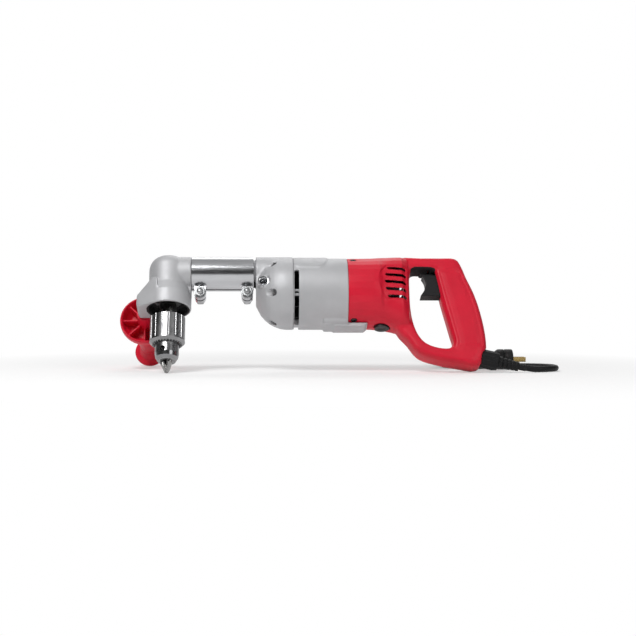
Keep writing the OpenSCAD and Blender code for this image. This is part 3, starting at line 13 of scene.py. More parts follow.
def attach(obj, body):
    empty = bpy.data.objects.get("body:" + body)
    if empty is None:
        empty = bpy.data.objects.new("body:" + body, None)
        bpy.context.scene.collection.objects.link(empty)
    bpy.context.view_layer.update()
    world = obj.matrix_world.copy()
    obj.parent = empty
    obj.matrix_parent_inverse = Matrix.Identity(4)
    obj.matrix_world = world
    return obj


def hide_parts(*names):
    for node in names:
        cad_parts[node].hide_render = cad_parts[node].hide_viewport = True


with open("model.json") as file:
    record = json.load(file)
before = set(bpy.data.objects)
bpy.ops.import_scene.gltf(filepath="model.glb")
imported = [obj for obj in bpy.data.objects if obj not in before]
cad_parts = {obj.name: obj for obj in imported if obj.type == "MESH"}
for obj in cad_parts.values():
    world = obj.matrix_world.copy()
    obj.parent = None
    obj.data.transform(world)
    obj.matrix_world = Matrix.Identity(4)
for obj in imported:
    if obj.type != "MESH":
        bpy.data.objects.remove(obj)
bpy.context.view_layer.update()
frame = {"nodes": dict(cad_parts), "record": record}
scene = bpy.context.scene

MM = 0.001
FLAT = Matrix.Scale(MM, 4)

# Tool frame: X along the drive axis, Z up the chuck axis, leaned back onto the ground.
LEAN = math.radians(25.513)
GROUND = 126.479
MID_X, MID_Y = 193.263, 30.737
TOOL = FLAT @ Matrix.Translation((-MID_X, -MID_Y, GROUND)) @ Matrix.Rotation(-LEAN, 4, "X")
MOTOR_Z = -29.0


def tool(x, y, z):
    return TOOL @ Vector((x, y, z))


# Camera

LENS, SENSOR = 81.7, 36.0
VIEW_TURN, VIEW_RISE = math.radians(2.5), math.radians(1.2)
VIEW_AIM = Vector((0.0021, -0.0307, 0.069))
VIEW_DISTANCE = 1.9


def add_camera():
    data = bpy.data.cameras.new("camera")
    data.lens = LENS
    data.sensor_width = SENSOR
    cam = bpy.data.objects.new("camera", data)
    scene.collection.objects.link(cam)
    level = math.cos(VIEW_RISE)
    way = Vector((-math.sin(VIEW_TURN) * level, -math.cos(VIEW_TURN) * level, math.sin(VIEW_RISE)))
    cam.location = VIEW_AIM + VIEW_DISTANCE * way
    cam.rotation_euler = (-way).to_track_quat("-Z", "Y").to_euler()
    scene.camera = cam


add_camera()


# Shader nodes

def new_material(name):
    m = bpy.data.materials.new(name)
    m.use_nodes = True
    nodes = m.node_tree.nodes
    return m, nodes, m.node_tree.links, nodes["Principled BSDF"]


def noise(nodes, links, coord, scale, detail, rough=0.55):
    n = nodes.new("ShaderNodeTexNoise")
    n.inputs["Scale"].default_value = scale
    n.inputs["Detail"].default_value = detail
    n.inputs["Roughness"].default_value = rough
    links.new(coord, n.inputs["Vector"])
    return n.outputs["Fac"]


def grey(v):
    return (v, v, v)


def ramp(nodes, links, fac, stops):
    """Colours at stops along a value."""
    r = nodes.new("ShaderNodeValToRGB")
    elements = r.color_ramp.elements
    while len(elements) < len(stops):
        elements.new(0.5)
    for element, (position, colour) in zip(elements, stops):
        element.position = position
        element.color = (*colour, 1)
    links.new(fac, r.inputs["Fac"])
    return r.outputs["Color"]


def grey_ramp(nodes, links, fac, *stops):
    return ramp(nodes, links, fac, [(position, grey(v)) for position, v in stops])


def mix(nodes, links, fac, a, b, mode="MIX"):
    m = nodes.new("ShaderNodeMix")
    m.data_type = "RGBA"
    m.blend_type = mode
    for sock, v in ((m.inputs["Factor"], fac), (m.inputs["A"], a), (m.inputs["B"], b)):
        if isinstance(v, (int, float)):
            sock.default_value = v
        elif isinstance(v, tuple):
            sock.default_value = (*v, 1)
        else:
            links.new(v, sock)
    return m.outputs["Result"]


# Materials

BLOTCH_SCALE, BLOTCH_DETAIL = 25.0, 4.0
SMEAR_SCALE, SMEAR_DETAIL = 60.0, 6.0
GRAIN_DETAIL, GRAIN_ROUGH = 4.0, 0.6
LOW, HIGH = 0.3, 0.7
LEAST_ROUGH = 0.03
WEAR_SCALE, WEAR_DETAIL = 140.0, 5.0
WEAR_BEFORE, WEAR_AFTER = 0.02, 0.06
RUB_STOPS = ((0.38, 0), (0.62, 0.8))


def worn(nodes, links, coord, colour, wear, wear_at):
    """Colour that is rubbed through on proud edges."""
    geo = nodes.new("ShaderNodeNewGeometry")
    stops = ((wear_at - WEAR_BEFORE, 0), (wear_at + WEAR_AFTER, 1))
    edge = grey_ramp(nodes, links, geo.outputs["Pointiness"], *stops)
    patches = noise(nodes, links, coord, WEAR_SCALE, WEAR_DETAIL)
    rub = grey_ramp(nodes, links, patches, *RUB_STOPS)
    both = mix(nodes, links, 1.0, edge, rub, "MULTIPLY")
    return mix(nodes, links, both, colour, wear)


def finish_material(name, base, metallic, rough, spread, tint, grain, bump, bump_mm, wear=None, wear_at=0.56,
                    shine=0.5, stretch=(1, 1, 1)):
    """Base colour with blotches, roughness variation, a fine surface grain and wear on proud edges."""
    m, nodes, links, bsdf = new_material(name)
    tex = nodes.new("ShaderNodeTexCoord")
    mapping = nodes.new("ShaderNodeMapping")
    mapping.inputs["Scale"].default_value = stretch
    links.new(tex.outputs["Object"], mapping.inputs["Vector"])
    coord = mapping.outputs["Vector"]
    dark = tuple(c * (1 - tint) for c in base)
    light = tuple(min(1, c * (1 + tint)) for c in base)
    blotches = noise(nodes, links, coord, BLOTCH_SCALE, BLOTCH_DETAIL)
    colour = ramp(nodes, links, blotches, [(LOW, dark), (HIGH, light)])
    if wear:
        colour = worn(nodes, links, coord, colour, wear, wear_at)
    links.new(colour, bsdf.inputs["Base Color"])
    bsdf.inputs["Metallic"].default_value = metallic
    smears = noise(nodes, links, coord, SMEAR_SCALE, SMEAR_DETAIL)
    least, most = max(LEAST_ROUGH, rough - spread), min(1, rough + spread)
    links.new(grey_ramp(nodes, links, smears, (LOW, least), (HIGH, most)), bsdf.inputs["Roughness"])
    b = nodes.new("ShaderNodeBump")
    b.inputs["Strength"].default_value = bump
    b.inputs["Distance"].default_value = bump_mm * MM
    links.new(noise(nodes, links, coord, grain, GRAIN_DETAIL, GRAIN_ROUGH), b.inputs["Height"])
    links.new(b.outputs["Normal"], bsdf.inputs["Normal"])
    bsdf.inputs["Specular IOR Level"].default_value = shine
    return m


FINISHES = {
    "cast_alloy": dict(base=(0.46, 0.462, 0.474), metallic=0.35, rough=0.54, spread=0.05, tint=0.06,
                       grain=1300, bump=0.3, bump_mm=0.12, wear=(0.62, 0.62, 0.63)),
    "polished_steel": dict(base=(0.52, 0.525, 0.54), metallic=1.0, rough=0.22, spread=0.05, tint=0.05,
                           grain=500, bump=0.05, bump_mm=0.03, stretch=(1, 8, 8)),
    "chuck_steel": dict(base=(0.28, 0.28, 0.285), metallic=1.0, rough=0.28, spread=0.08, tint=0.1,
                        grain=700, bump=0.1, bump_mm=0.05, wear=(0.48, 0.48, 0.48)),
    "jaw_steel": dict(base=(0.36, 0.355, 0.35), metallic=1.0, rough=0.32, spread=0.1, tint=0.15,
                      grain=800, bump=0.1, bump_mm=0.05),
    "zinc_fasteners": dict(base=(0.4, 0.41, 0.415), metallic=1.0, rough=0.42, spread=0.1, tint=0.15,
                           grain=700, bump=0.1, bump_mm=0.05, wear=(0.6, 0.6, 0.6)),
    "dark_screws": dict(base=(0.05, 0.05, 0.052), metallic=0.9, rough=0.42, spread=0.1, tint=0.2,
                        grain=700, bump=0.1, bump_mm=0.05, wear=(0.25, 0.25, 0.25)),
    "shaft_steel": dict(base=(0.5, 0.5, 0.51), metallic=1.0, rough=0.25, spread=0.08, tint=0.1,
                        grain=600, bump=0.08, bump_mm=0.04),
    "gear_steel": dict(base=(0.33, 0.33, 0.34), metallic=1.0, rough=0.36, spread=0.1, tint=0.15,
                       grain=600, bump=0.1, bump_mm=0.05),
    "bearing_steel": dict(base=(0.58, 0.58, 0.6), metallic=1.0, rough=0.2, spread=0.05, tint=0.08,
                          grain=600, bump=0.05, bump_mm=0.03),
    "bronze": dict(base=(0.5, 0.33, 0.14), metallic=1.0, rough=0.38, spread=0.08, tint=0.15,
                   grain=900, bump=0.12, bump_mm=0.06),
    "laminations": dict(base=(0.17, 0.17, 0.18), metallic=0.8, rough=0.5, spread=0.1, tint=0.2,
                        grain=900, bump=0.2, bump_mm=0.1, stretch=(30, 1, 1)),
    "copper": dict(base=(0.48, 0.19, 0.08), metallic=0.9, rough=0.34, spread=0.08, tint=0.2,
                   grain=500, bump=0.5, bump_mm=0.4, stretch=(1, 6, 6)),
    "red_plastic": dict(base=(0.62, 0.008, 0.03), metallic=0.0, rough=0.42, spread=0.05, tint=0.06,
                        grain=1500, bump=0.2, bump_mm=0.1, wear=(0.66, 0.02, 0.04), wear_at=0.6, shine=0.3),
    "black_plastic": dict(base=(0.007, 0.007, 0.008), metallic=0.0, rough=0.45, spread=0.08, tint=0.2,
                          grain=1200, bump=0.25, bump_mm=0.1, wear=(0.03, 0.03, 0.03), shine=0.3),
    "black_rubber": dict(base=(0.006, 0.006, 0.0065), metallic=0.0, rough=0.55, spread=0.1, tint=0.25,
                         grain=800, bump=0.3, bump_mm=0.15, wear=(0.025, 0.025, 0.025), shine=0.25),
    "blade_brass": dict(base=(0.6, 0.43, 0.17), metallic=1.0, rough=0.25, spread=0.07, tint=0.12,
                        grain=600, bump=0.08, bump_mm=0.04),
    # Flat black used as painted shade on faces in hollows and recesses
    "dark_gap": dict(base=(0.006, 0.006, 0.007), metallic=0.0, rough=0.8, spread=0.05, tint=0.2,
                     grain=300, bump=0.1, bump_mm=0.1),
}
MAT = {name: finish_material(name, **look) for name, look in FINISHES.items()}
SLOT_OF = {s["node"]: s["material_slot"] for s in frame["record"]["subparts"]}
BODY_OF = {n: body for body, names in frame["record"]["behaviour"]["bodies"].items() for n in names}


def dress(obj, material):
    obj.data.materials.clear()
    obj.data.materials.append(material)


def dress_node(name, material):
    """Puts a material on a CAD node as the frame loaded it."""
    obj = frame["nodes"][name]
    if not obj.material_slots:
        obj.data.materials.append(material)
    for s in obj.material_slots:
        s.link = "OBJECT"
        s.material = material


for name in frame["nodes"]:
    dress_node(name, MAT[SLOT_OF[name]])
# The retainer in the recess above the chuck gets the dark screw finish as painted shade
dress_node("head_retainer", MAT["dark_screws"])


# Pieces

def new_object(name, data):
    obj = bpy.data.objects.new(name, data)
    scene.collection.objects.link(obj)
    return obj


def seat(obj, body, nodes=()):
    """Ties a piece to its body, and hides the CAD nodes that it stands in for."""
    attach(obj, body)
    if nodes:
        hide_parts(*nodes)


def add_mesh(name, verts, faces, slot, space=TOOL, nodes=()):
    """Smooth closed piece on the drill's body."""
    me = bpy.data.meshes.new(name)
    me.from_pydata([tuple(space @ Vector(v)) for v in verts], [], faces)
    me.validate()
    bm = bmesh.new()
    bm.from_mesh(me)
    bmesh.ops.recalc_face_normals(bm, faces=bm.faces)
    bm.to_mesh(me)
    bm.free()
    obj = new_object(name, me)
    me.polygons.foreach_set("use_smooth", [True] * len(me.polygons))
    dress(obj, MAT[slot])
    seat(obj, "drill", nodes)
    return obj


def bevel(obj, width, angle=30):
    b = obj.modifiers.new("bevel", "BEVEL")
    b.width = width * MM
    b.segments = 2
    b.limit_method = "ANGLE"
    b.angle_limit = math.radians(angle)
    b.harden_normals = False
    return obj


def axis_frame(origin, direction):
    """Matrix that takes local Z to a direction from an origin."""
    return Matrix.Translation(origin) @ Vector(direction).to_track_quat("Z", "Y").to_matrix().to_4x4()


def around(radius, height, turn):
    return Vector((radius * math.cos(turn), radius * math.sin(turn), height))


def lathe(name, profile, origin, direction, slot, steps=48, space=TOOL, nodes=()):
    """Turned piece from (radius, height) points along an axis. A radius of 0 closes an end."""
    base = axis_frame(origin, direction)
    verts, faces, rings = [], [], []
    for r, h in profile:
        count = steps if r else 1
        rings.append([len(verts) + k % count for k in range(steps)])
        verts += [base @ around(r, h, 2 * math.pi * k / steps) for k in range(count)]
    for a, b in zip(rings, rings[1:]):
        for k in range(steps):
            j = (k + 1) % steps
            corners = list(dict.fromkeys((a[k], a[j], b[j], b[k])))
            if len(corners) > 2:
                faces.append(corners)
    return add_mesh(name, verts, faces, slot, space, nodes)


# Skins: copies of CAD nodes with the small fillets of castings and mouldings

SKIN_FACTOR = 0.5
LEAST_SHARE = 0.01


def smoothstep(low, high, v):
    t = np.clip((v - low) / (high - low), 0, 1)
    return t * t * (3 - 2 * t)


def tool_places(co, no):
    """Places and normals in the tool frame, from those of the scene."""
    back = np.array(TOOL.inverted())
    return co @ back[:3, :3].T + back[:3, 3], no @ np.array(Matrix.Rotation(-LEAN, 3, "X"))


def read_all(items, place):
    """Places and normals of all the vertices or faces of a mesh."""
    out = []
    for key in (place, "normal"):
        values = np.empty(3 * len(items))
        items.foreach_get(key, values)
        out.append(values.reshape(-1, 3))
    return out


def press(me, depth_of):
    """Moves points along their normals by a depth, a function of place and normal in the tool frame."""
    co, no = read_all(me.vertices, "co")
    co += no * (MM * depth_of(*tool_places(co, no)))[:, None]
    me.vertices.foreach_set("co", co.ravel())
    me.update()


def bake(obj):
    """Turns an object's modifiers into its mesh."""
    dg = bpy.context.evaluated_depsgraph_get()
    me = bpy.data.meshes.new_from_object(obj.evaluated_get(dg))
    obj.modifiers.clear()
    obj.data = me


def smooth(obj, passes, group=""):
    m = obj.modifiers.new("smooth", "SMOOTH")
    m.factor = SKIN_FACTOR
    m.iterations = passes
    m.vertex_group = group


def remesh(obj, voxel, passes):
    r = obj.modifiers.new("remesh", "REMESH")
    r.mode = "VOXEL"
    r.voxel_size = voxel * MM
    smooth(obj, passes)
    bake(obj)


def melt(obj, share_of, passes):
    """Rounds the hollows where forms meet, by smoothing that fades out away from a place."""
    share = share_of(*tool_places(*read_all(obj.data.vertices, "co")))
    group = obj.vertex_groups.new(name="melt")
    for i in np.nonzero(share > LEAST_SHARE)[0]:
        group.add([int(i)], float(share[i]), "REPLACE")
    smooth(obj, passes, group.name)
    bake(obj)
    obj.vertex_groups.clear()


def paint_shade(obj, inside):
    """Paints shade on the faces inside a hollow with the flat black dark_gap material."""
    me = obj.data
    shaded_faces = inside(*tool_places(*read_all(me.polygons, "center")))
    me.materials.append(MAT["dark_gap"])
    me.polygons.foreach_set("material_index", shaded_faces.astype(np.int32))


def finish_skin(obj, node, inside=None):
    obj.data.polygons.foreach_set("use_smooth", [True] * len(obj.data.polygons))
    dress(obj, MAT[SLOT_OF[node]])
    # inside picks the faces that get painted shade
    if inside:
        paint_shade(obj, inside)
    seat(obj, BODY_OF[node], (node,))


def soften(node, voxel, passes, blend=None, blend_passes=60, inside=None):
    """Skin of one node."""
    obj = new_object(node + "_skin", frame["nodes"][node].data.copy())
    remesh(obj, voxel, passes)
    if blend:
        melt(obj, blend, blend_passes)
    finish_skin(obj, node, inside)


def lapped_shells(sides, lap=0.3, near=0.01):
    """One mesh of both shells, each pulled past the parting plane so that a remesh joins them."""
    whole = bmesh.new()
    for node, side in sides:
        me = frame["nodes"][node].data.copy()
        co, no = read_all(me.vertices, "co")
        on_plane = np.abs(tool_places(co, no)[0][:, 1]) < near
        co += on_plane[:, None] * np.array(TOOL.to_3x3() @ Vector((0, side * lap, 0)))
        me.vertices.foreach_set("co", co.ravel())
        whole.from_mesh(me)
    me = bpy.data.meshes.new("shells")
    whole.to_mesh(me)
    whole.free()
    return me


def half_shell(me, side, name):
    """What lies on one side of the parting plane, closed by a face on the cut."""
    half = bmesh.new()
    half.from_mesh(me)
    parts = half.verts[:] + half.edges[:] + half.faces[:]
    across = (TOOL.to_3x3() @ Vector((0, 1, 0))).normalized() * side
    bmesh.ops.bisect_plane(half, geom=parts, plane_co=tool(0, 0, 0), plane_no=across, clear_outer=True)
    rim = [e for e in half.edges if len(e.link_faces) == 1]
    bmesh.ops.triangle_fill(half, edges=rim, use_beauty=False)
    bmesh.ops.recalc_face_normals(half, faces=half.faces)
    out = bpy.data.meshes.new(name)
    half.to_mesh(out)
    half.free()
    return out


def soften_shells(left, right, voxel, passes, blend, blend_passes, relief, inside):
    """Skins of two shells shaped as one form, so that blends cross their parting plane."""
    sides = ((left, 1), (right, -1))
    both = new_object("shells", lapped_shells(sides))
    remesh(both, voxel, passes)
    melt(both, blend, blend_passes)
    press(both.data, relief)
    for node, side in sides:
        name = node + "_skin"
        finish_skin(new_object(name, half_shell(both.data, side, name)), node, inside)
    bpy.data.objects.remove(both)


# Cord, plug and tie, on the ground

CORD_R, CORD_STEPS = 4.0, 3
EXIT = (257.812, -87.633, 7.264)
EXIT_ANGLE = math.radians(14)
EXIT_DROP = math.sin(EXIT_ANGLE)
EXIT_WAY = (math.cos(EXIT_ANGLE), -EXIT_DROP * math.sin(LEAN), -EXIT_DROP * math.cos(LEAN))
EXIT_LEAD = 8.0
ROUTE = [(266, -87, 6), (279, -88, 4.3), (296, -83, 4.3), (308, -71, 4.3), (312, -55, 4.3),
         (308, -39, 4.3), (296, -27, 4.3), (281, -21, 4.3), (267, -14, 4.3), (257, -4, 4.3)]
RUN_RINGS, ARC_RINGS = 8, 4
LOOP_RINGS = 2 * (RUN_RINGS + ARC_RINGS)
HANK = dict(x=210.0, y=95.0, z=4.3, run=75.0, out=42.0, pitch=9.2, draw=12.0, lift=1.4, loops=4, dwell=1 / 3,
            flare=9.0, flare_lead=1 / 3, flare_loops=1 / 6, layer=9.6, climb_loops=1 / 3,
            end=3 + 22 / LOOP_RINGS)


def limited(v):
    return min(1, max(0, v))


def swell(share):
    """Smooth rise from 0 to 1."""
    return (1 - math.cos(math.pi * limited(share))) / 2


def hank_point(t):
    """Place after t loops of the hank: two straight runs and two arcs, drawn in at the waist by the tie."""
    h = HANK
    flare = h["flare"] * swell((t - h["loops"] + h["flare_lead"]) / h["flare_loops"])
    reach = h["out"] - h["pitch"] * min(t, h["loops"] / 2, h["loops"] + h["dwell"] - t) + flare
    z = h["z"] + h["layer"] * limited((t - h["loops"] / 2) / h["climb_loops"])
    half, step = divmod((t - math.floor(t)) * LOOP_RINGS, RUN_RINGS + ARC_RINGS)
    side = 1 - 2 * half
    along = 2 * min(1, step / RUN_RINGS) - 1
    arc = math.pi * max(0, step - RUN_RINGS) / ARC_RINGS
    y = side * (h["run"] * along + reach * math.sin(arc))
    waist = swell(1 - abs(y) / h["run"])
    x = side * math.cos(arc) * (reach - h["draw"] * waist)
    return Vector((h["x"] + x, h["y"] + y, z + h["lift"] * waist))


def smooth_line(points, steps):
    """Points of a smooth curve through all the given ones."""
    out = []
    n = len(points)
    for i in range(n - 1):
        p0, p1, p2, p3 = points[max(i - 1, 0)], points[i], points[i + 1], points[min(i + 2, n - 1)]
        for k in range(steps):
            u = k / steps
            out.append(0.5 * (2 * p1 + (p2 - p0) * u + (2 * p0 - 5 * p1 + 4 * p2 - p3) * u ** 2
                              + (3 * p1 - p0 - 3 * p2 + p3) * u ** 3))
    out.append(points[-1])
    return out


def make_cord():
    start = Vector(EXIT)
    back = Vector((0, 2 * CORD_R, 0))
    lead = hank_point(0) - back
    stop = hank_point(HANK["end"]) + Vector((2 * CORD_R, 0, 0))
    knots = [start, start + EXIT_LEAD * Vector(EXIT_WAY)] + [Vector(p) for p in ROUTE] + [lead - back, lead]
    count = round(HANK["end"] * LOOP_RINGS)
    knots += [hank_point(i / LOOP_RINGS) for i in range(count + 1)] + [stop]
    line = [p * MM for p in smooth_line(knots, CORD_STEPS)]
    curve = bpy.data.curves.new("cord_run", "CURVE")
    curve.dimensions = "3D"
    spline = curve.splines.new("POLY")
    spline.points.add(len(line) - 1)
    for pt, p in zip(spline.points, line):
        pt.co = (*p, 1)
    curve.bevel_depth = CORD_R * MM
    curve.bevel_resolution = 5
    curve.use_fill_caps = True
    obj = new_object("cord_run", curve)
    curve.materials.append(MAT["black_rubber"])
    seat(obj, "drill", ("cord", "cord_hank"))
    return obj, sum((a - b).length for a, b in zip(line, line[1:])), stop


def make_plug(at):
    """Moulded plug with a ribbed neck and a groove round its body."""
    profile = [(0, 0), (5.2, 0), (6.0, 0.8), (6.0, 2.4)]
    ribs, first, pitch = 4, 3.0, 2.9
    rib_r, dip_r, swelling = 6.6, 5.6, 0.2
    for k in range(ribs):
        h = first + pitch * k
        rib, dip = rib_r + swelling * k, dip_r + swelling * k
        profile += [(rib - 0.4, h), (rib, h + 0.5), (rib, h + 1.9), (dip, h + 2.1), (dip, h + 2.6)]
    profile += [(7.6, 15.0), (11.2, 19.4), (12.9, 21.6), (13.4, 23.4), (13.4, 30.0), (12.7, 30.4),
                (12.7, 31.4), (13.4, 31.8), (13.4, 40.6), (12.8, 41.6), (11.6, 42.0), (0, 42.0)]
    return lathe("plug_moulding", profile, at, (1, 0, 0), "black_rubber", space=FLAT, nodes=("plug_body",))


def make_tie():
    """Flat strap with round corners that holds the hank at its waist."""
    half, top, low, r = 36.5, 20.8, 0.5, 7.0
    width, thick, edge, steps = 11.6, 0.9, 0.3, 6
    right, high = half - r, top - r
    corners = ((right, high), (-right, high), (-right, low + r), (right, low + r))
    section = ((-1, r), (1, r), (1, r - thick), (-1, r - thick))
    verts, faces = [], []
    for quarter, (cx, cz) in enumerate(corners):
        for k in range(steps + 1):
            a = math.radians(90 * (quarter + k / steps))
            for y, out in section:
                x, z = cx + out * math.cos(a), cz + out * math.sin(a)
                verts.append((HANK["x"] + x, HANK["y"] + y * width / 2, z))
    n = len(verts)
    for i in range(0, n, 4):
        j = (i + 4) % n
        for k in range(4):
            m = (k + 1) % 4
            faces.append((i + k, j + k, j + m, i + m))
    return bevel(add_mesh("tie_strap", verts, faces, "black_plastic", FLAT, ("cord_tie",)), edge)


cord_piece, cord_length, plug_at = make_cord()
plug_piece = make_plug(plug_at)
tie_piece = make_tie()


# Castings and mouldings

VENT_Z, VENT_HALF = -28.0, 25.0
VENT_FRONT, VENT_BOW, VENT_BACK = 282.0, 11.0, 309.5
VENT_SLOPE, VENT_DEPTH = 1.3, 1.1
GRIP_SIDE, GRIP_SINK = 13.6, 0.9
GRIP_BORDER, GRIP_BORDER_HALF = 0.45, 0.5
GRIP_RAKE = 0.12
BORE_X, BORE_Z, BORE_FACE_Y = 123.4, -26.0, 33.5
BARREL_R, SKIRT_R, SKIRT_TOP = 44.0, 28.0, -36.0
NOSE_R, NOSE_SPREAD = 22.5, 7.0
INWARD = -0.3
# Where a form fades in: from nothing at the first value to the whole at the second
OUTWARD = (0.25, 0.45)
GRIP_FRONT, GRIP_FOOT, GRIP_TOP, GRIP_PANEL = (344.0, 352.0), (-112.0, -104.0), (2.0, -6.0), (14.3, 15.0)
NOSE_FRONT, NOSE_BACK, BOSS_CLEAR = (114.5, 118.0), (152.0, 142.0), (8.5, 12.0)
LEG_FRONT, LEG_BACK, LEG_FOOT, LEG_TOP = (270.0, 285.0), (335.0, 318.0), (-112.0, -98.0), (-56.0, -66.0)


def vent_panel(x, z):
    """Share of the recess round the vents: straight at the back, an arc at the front."""
    rise = z - VENT_Z
    front = VENT_FRONT - VENT_BOW * np.clip(1 - (rise / VENT_HALF) ** 2, 0, 1)
    inside = np.minimum(np.minimum(x - front, VENT_BACK - x), VENT_HALF - np.abs(rise))
    return smoothstep(0.0, VENT_SLOPE, inside)


def handle_relief(place, way):
    """Sunk panels with raised borders on the grip, and the recess round the vents."""
    x, y, z = place.T
    side = np.abs(y)
    outer = smoothstep(*OUTWARD, np.sign(y) * way[:, 1])
    front = smoothstep(*GRIP_FRONT, x + GRIP_RAKE * z)
    grip = front * smoothstep(*GRIP_FOOT, z) * smoothstep(*GRIP_TOP, z)
    panel = -GRIP_SINK * smoothstep(*GRIP_PANEL, side)
    border = GRIP_BORDER * np.exp(-((side - GRIP_SIDE) / GRIP_BORDER_HALF) ** 2)
    return ((panel + border) * grip - VENT_DEPTH * vent_panel(x, z)) * outer


def barrel_shade_faces(place, way):
    """Faces that look inwards in the motor's barrel, which get painted shade."""
    y = place[:, 1]
    z = place[:, 2] - MOTOR_Z
    r = np.hypot(y, z)
    return (r < BARREL_R) & (way[:, 1] * y + way[:, 2] * z < INWARD * r)


def skirt_shade_faces(place, way):
    """Faces of the recess above the chuck, which get painted shade."""
    return (np.hypot(place[:, 0], place[:, 1]) < SKIRT_R) & (place[:, 2] < SKIRT_TOP)


def nose_blend(place, way):
    """Where the spindle's nose runs into the dome of the gear case, but not at the threaded bosses."""
    x, y, z = place.T
    ring = np.exp(-((np.hypot(y, z) - NOSE_R) / NOSE_SPREAD) ** 2)
    boss = smoothstep(*BOSS_CLEAR, np.hypot(x - BORE_X, z - BORE_Z))
    return ring * boss * smoothstep(*NOSE_FRONT, x) * smoothstep(*NOSE_BACK, x)


def loop_blend(place, way):
    """Where the D-handle's lower leg runs into the motor's barrel."""
    x, y, z = place.T
    along = smoothstep(*LEG_FRONT, x) * smoothstep(*LEG_BACK, x)
    return along * smoothstep(*LEG_FOOT, z) * smoothstep(*LEG_TOP, z)


soften("head_casting", voxel=0.9, passes=9, inside=skirt_shade_faces)
soften("gear_case", voxel=0.9, passes=7, blend=nose_blend, inside=barrel_shade_faces)
soften("motor_housing", voxel=0.9, passes=6, inside=barrel_shade_faces)
soften_shells("handle_left", "handle_right", voxel=0.8, passes=7, blend=loop_blend, blend_passes=90,
              relief=handle_relief, inside=barrel_shade_faces)
soften("side_handle_grip", voxel=0.8, passes=5)
soften("trigger", voxel=0.5, passes=5)
soften("reverse_lever", voxel=0.35, passes=4)
soften("cord_collar", voxel=0.45, passes=4)
soften("strain_relief", voxel=0.4, passes=4)


# Fasteners

def hex_piece(name, flats, height, origin, direction, nodes=(), bore=0.0, spin=0.0):
    """Zinc hexagon with a turned chamfer on its outer face, and an optional bore."""
    base = axis_frame(origin, direction)
    steps, rings = 72, 7
    ease_share, slope = 0.97, 0.55
    foot, lip, mouth, point_r = 0.3, 0.25, 0.4, 0.01
    rim_share, rim_span = 0.985, 0.25
    verts, faces, rows = [], [], []

    def top(r):
        return height - max(0.0, r - flats / 2 * ease_share) * slope

    def add_row(point):
        """A ring of points, each a radius and a height worked out from the hexagon's radius there."""
        rows.append(len(verts))
        for k in range(steps):
            a = 2 * math.pi * k / steps
            turn = (math.degrees(a) + 30) % 60 - 30
            r, h = point(flats / 2 / math.cos(math.radians(turn)))
            verts.append(base @ around(r, h, a + spin))

    if bore:
        add_row(lambda r: (bore, 0))
    add_row(lambda r: (r * ease_share, 0))
    add_row(lambda r: (r, foot))
    add_row(lambda r: (r, top(r) - lip))
    for k in range(rings):
        share = rim_share - k / rings * rim_span
        add_row(lambda r: (r * share, top(r * share)))
    if bore:
        add_row(lambda r: (bore + mouth, height))
        add_row(lambda r: (bore, height - mouth))
        rows.append(rows[0])
    else:
        add_row(lambda r: (point_r, height))
        faces.append(tuple(range(rows[0], rows[0] + steps))[::-1])
    for a, b in zip(rows, rows[1:]):
        for k in range(steps):
            j = (k + 1) % steps
            faces.append((a + k, a + j, b + j, b + k))
    return add_mesh(name, verts, faces, "zinc_fasteners", nodes=nodes)


def cross_screw(name, r, rise, origin, direction, slot, nodes=()):
    """Pan head with a cross recess, seated on its origin."""
    steps, spin = 40, 0.4
    base = axis_frame(origin, direction) @ Matrix.Rotation(spin, 4, "Z")
    arm, reach, deep, taper = 0.17 * r, 0.62 * r, 0.42 * r, 0.8
    edge, edge_angle = 0.03 * r, 25
    bm = bmesh.new()
    rows = []
    for rr, h in ((r, 0.0), (r, 0.5 * rise), (0.93 * r, 0.8 * rise), (0.78 * r, rise)):
        rows.append([bm.verts.new(base @ around(rr, h, 2 * math.pi * k / steps)) for k in range(steps)])
    for a, b in zip(rows, rows[1:]):
        for k in range(steps):
            j = (k + 1) % steps
            bm.faces.new((a[k], a[j], b[j], b[k]))
    bm.faces.new(rows[0][::-1])
    cross = []
    for quarter in range(4):
        turn = Matrix.Rotation(quarter * math.pi / 2, 2)
        cross += [turn @ Vector(p) for p in ((reach, -arm), (reach, arm), (arm, arm))]
    lip = [bm.verts.new(base @ Vector((*p, rise))) for p in cross]
    foot = [bm.verts.new(base @ Vector((*(taper * p), rise - deep))) for p in cross]
    for k in range(len(cross)):
        j = (k + 1) % len(cross)
        bm.faces.new((lip[j], lip[k], foot[k], foot[j]))
    bm.faces.new(foot)
    edges = [e for e in bm.edges if len(e.link_faces) == 1]
    bmesh.ops.triangle_fill(bm, edges=edges, use_beauty=True)
    bmesh.ops.recalc_face_normals(bm, faces=bm.faces)
    bm.transform(TOOL)
    me = bpy.data.meshes.new(name)
    bm.to_mesh(me)
    bm.free()
    obj = new_object(name, me)
    dress(obj, MAT[slot])
    seat(obj, "drill", nodes)
    return bevel(obj, edge, edge_angle)


def threaded_lining(name, r, depth, face_r, origin, direction):
    """Thread turns inside a blind hole, with the machined face round its mouth."""
    proud, pitch, crest, root = 0.06, 1.4, r - 0.42, r - 0.08
    wall, end, last_turn = r - 0.1, 0.4 - depth, 1.6 - depth
    profile = [(face_r, proud), (r + 0.5, proud), (wall, -0.5)]
    h = -0.9
    while h > last_turn:
        profile += [(crest, h), (root, h - pitch / 2)]
        h -= pitch
    profile += [(wall, end), (0, end)]
    return lathe(name, profile, origin, direction, "polished_steel")


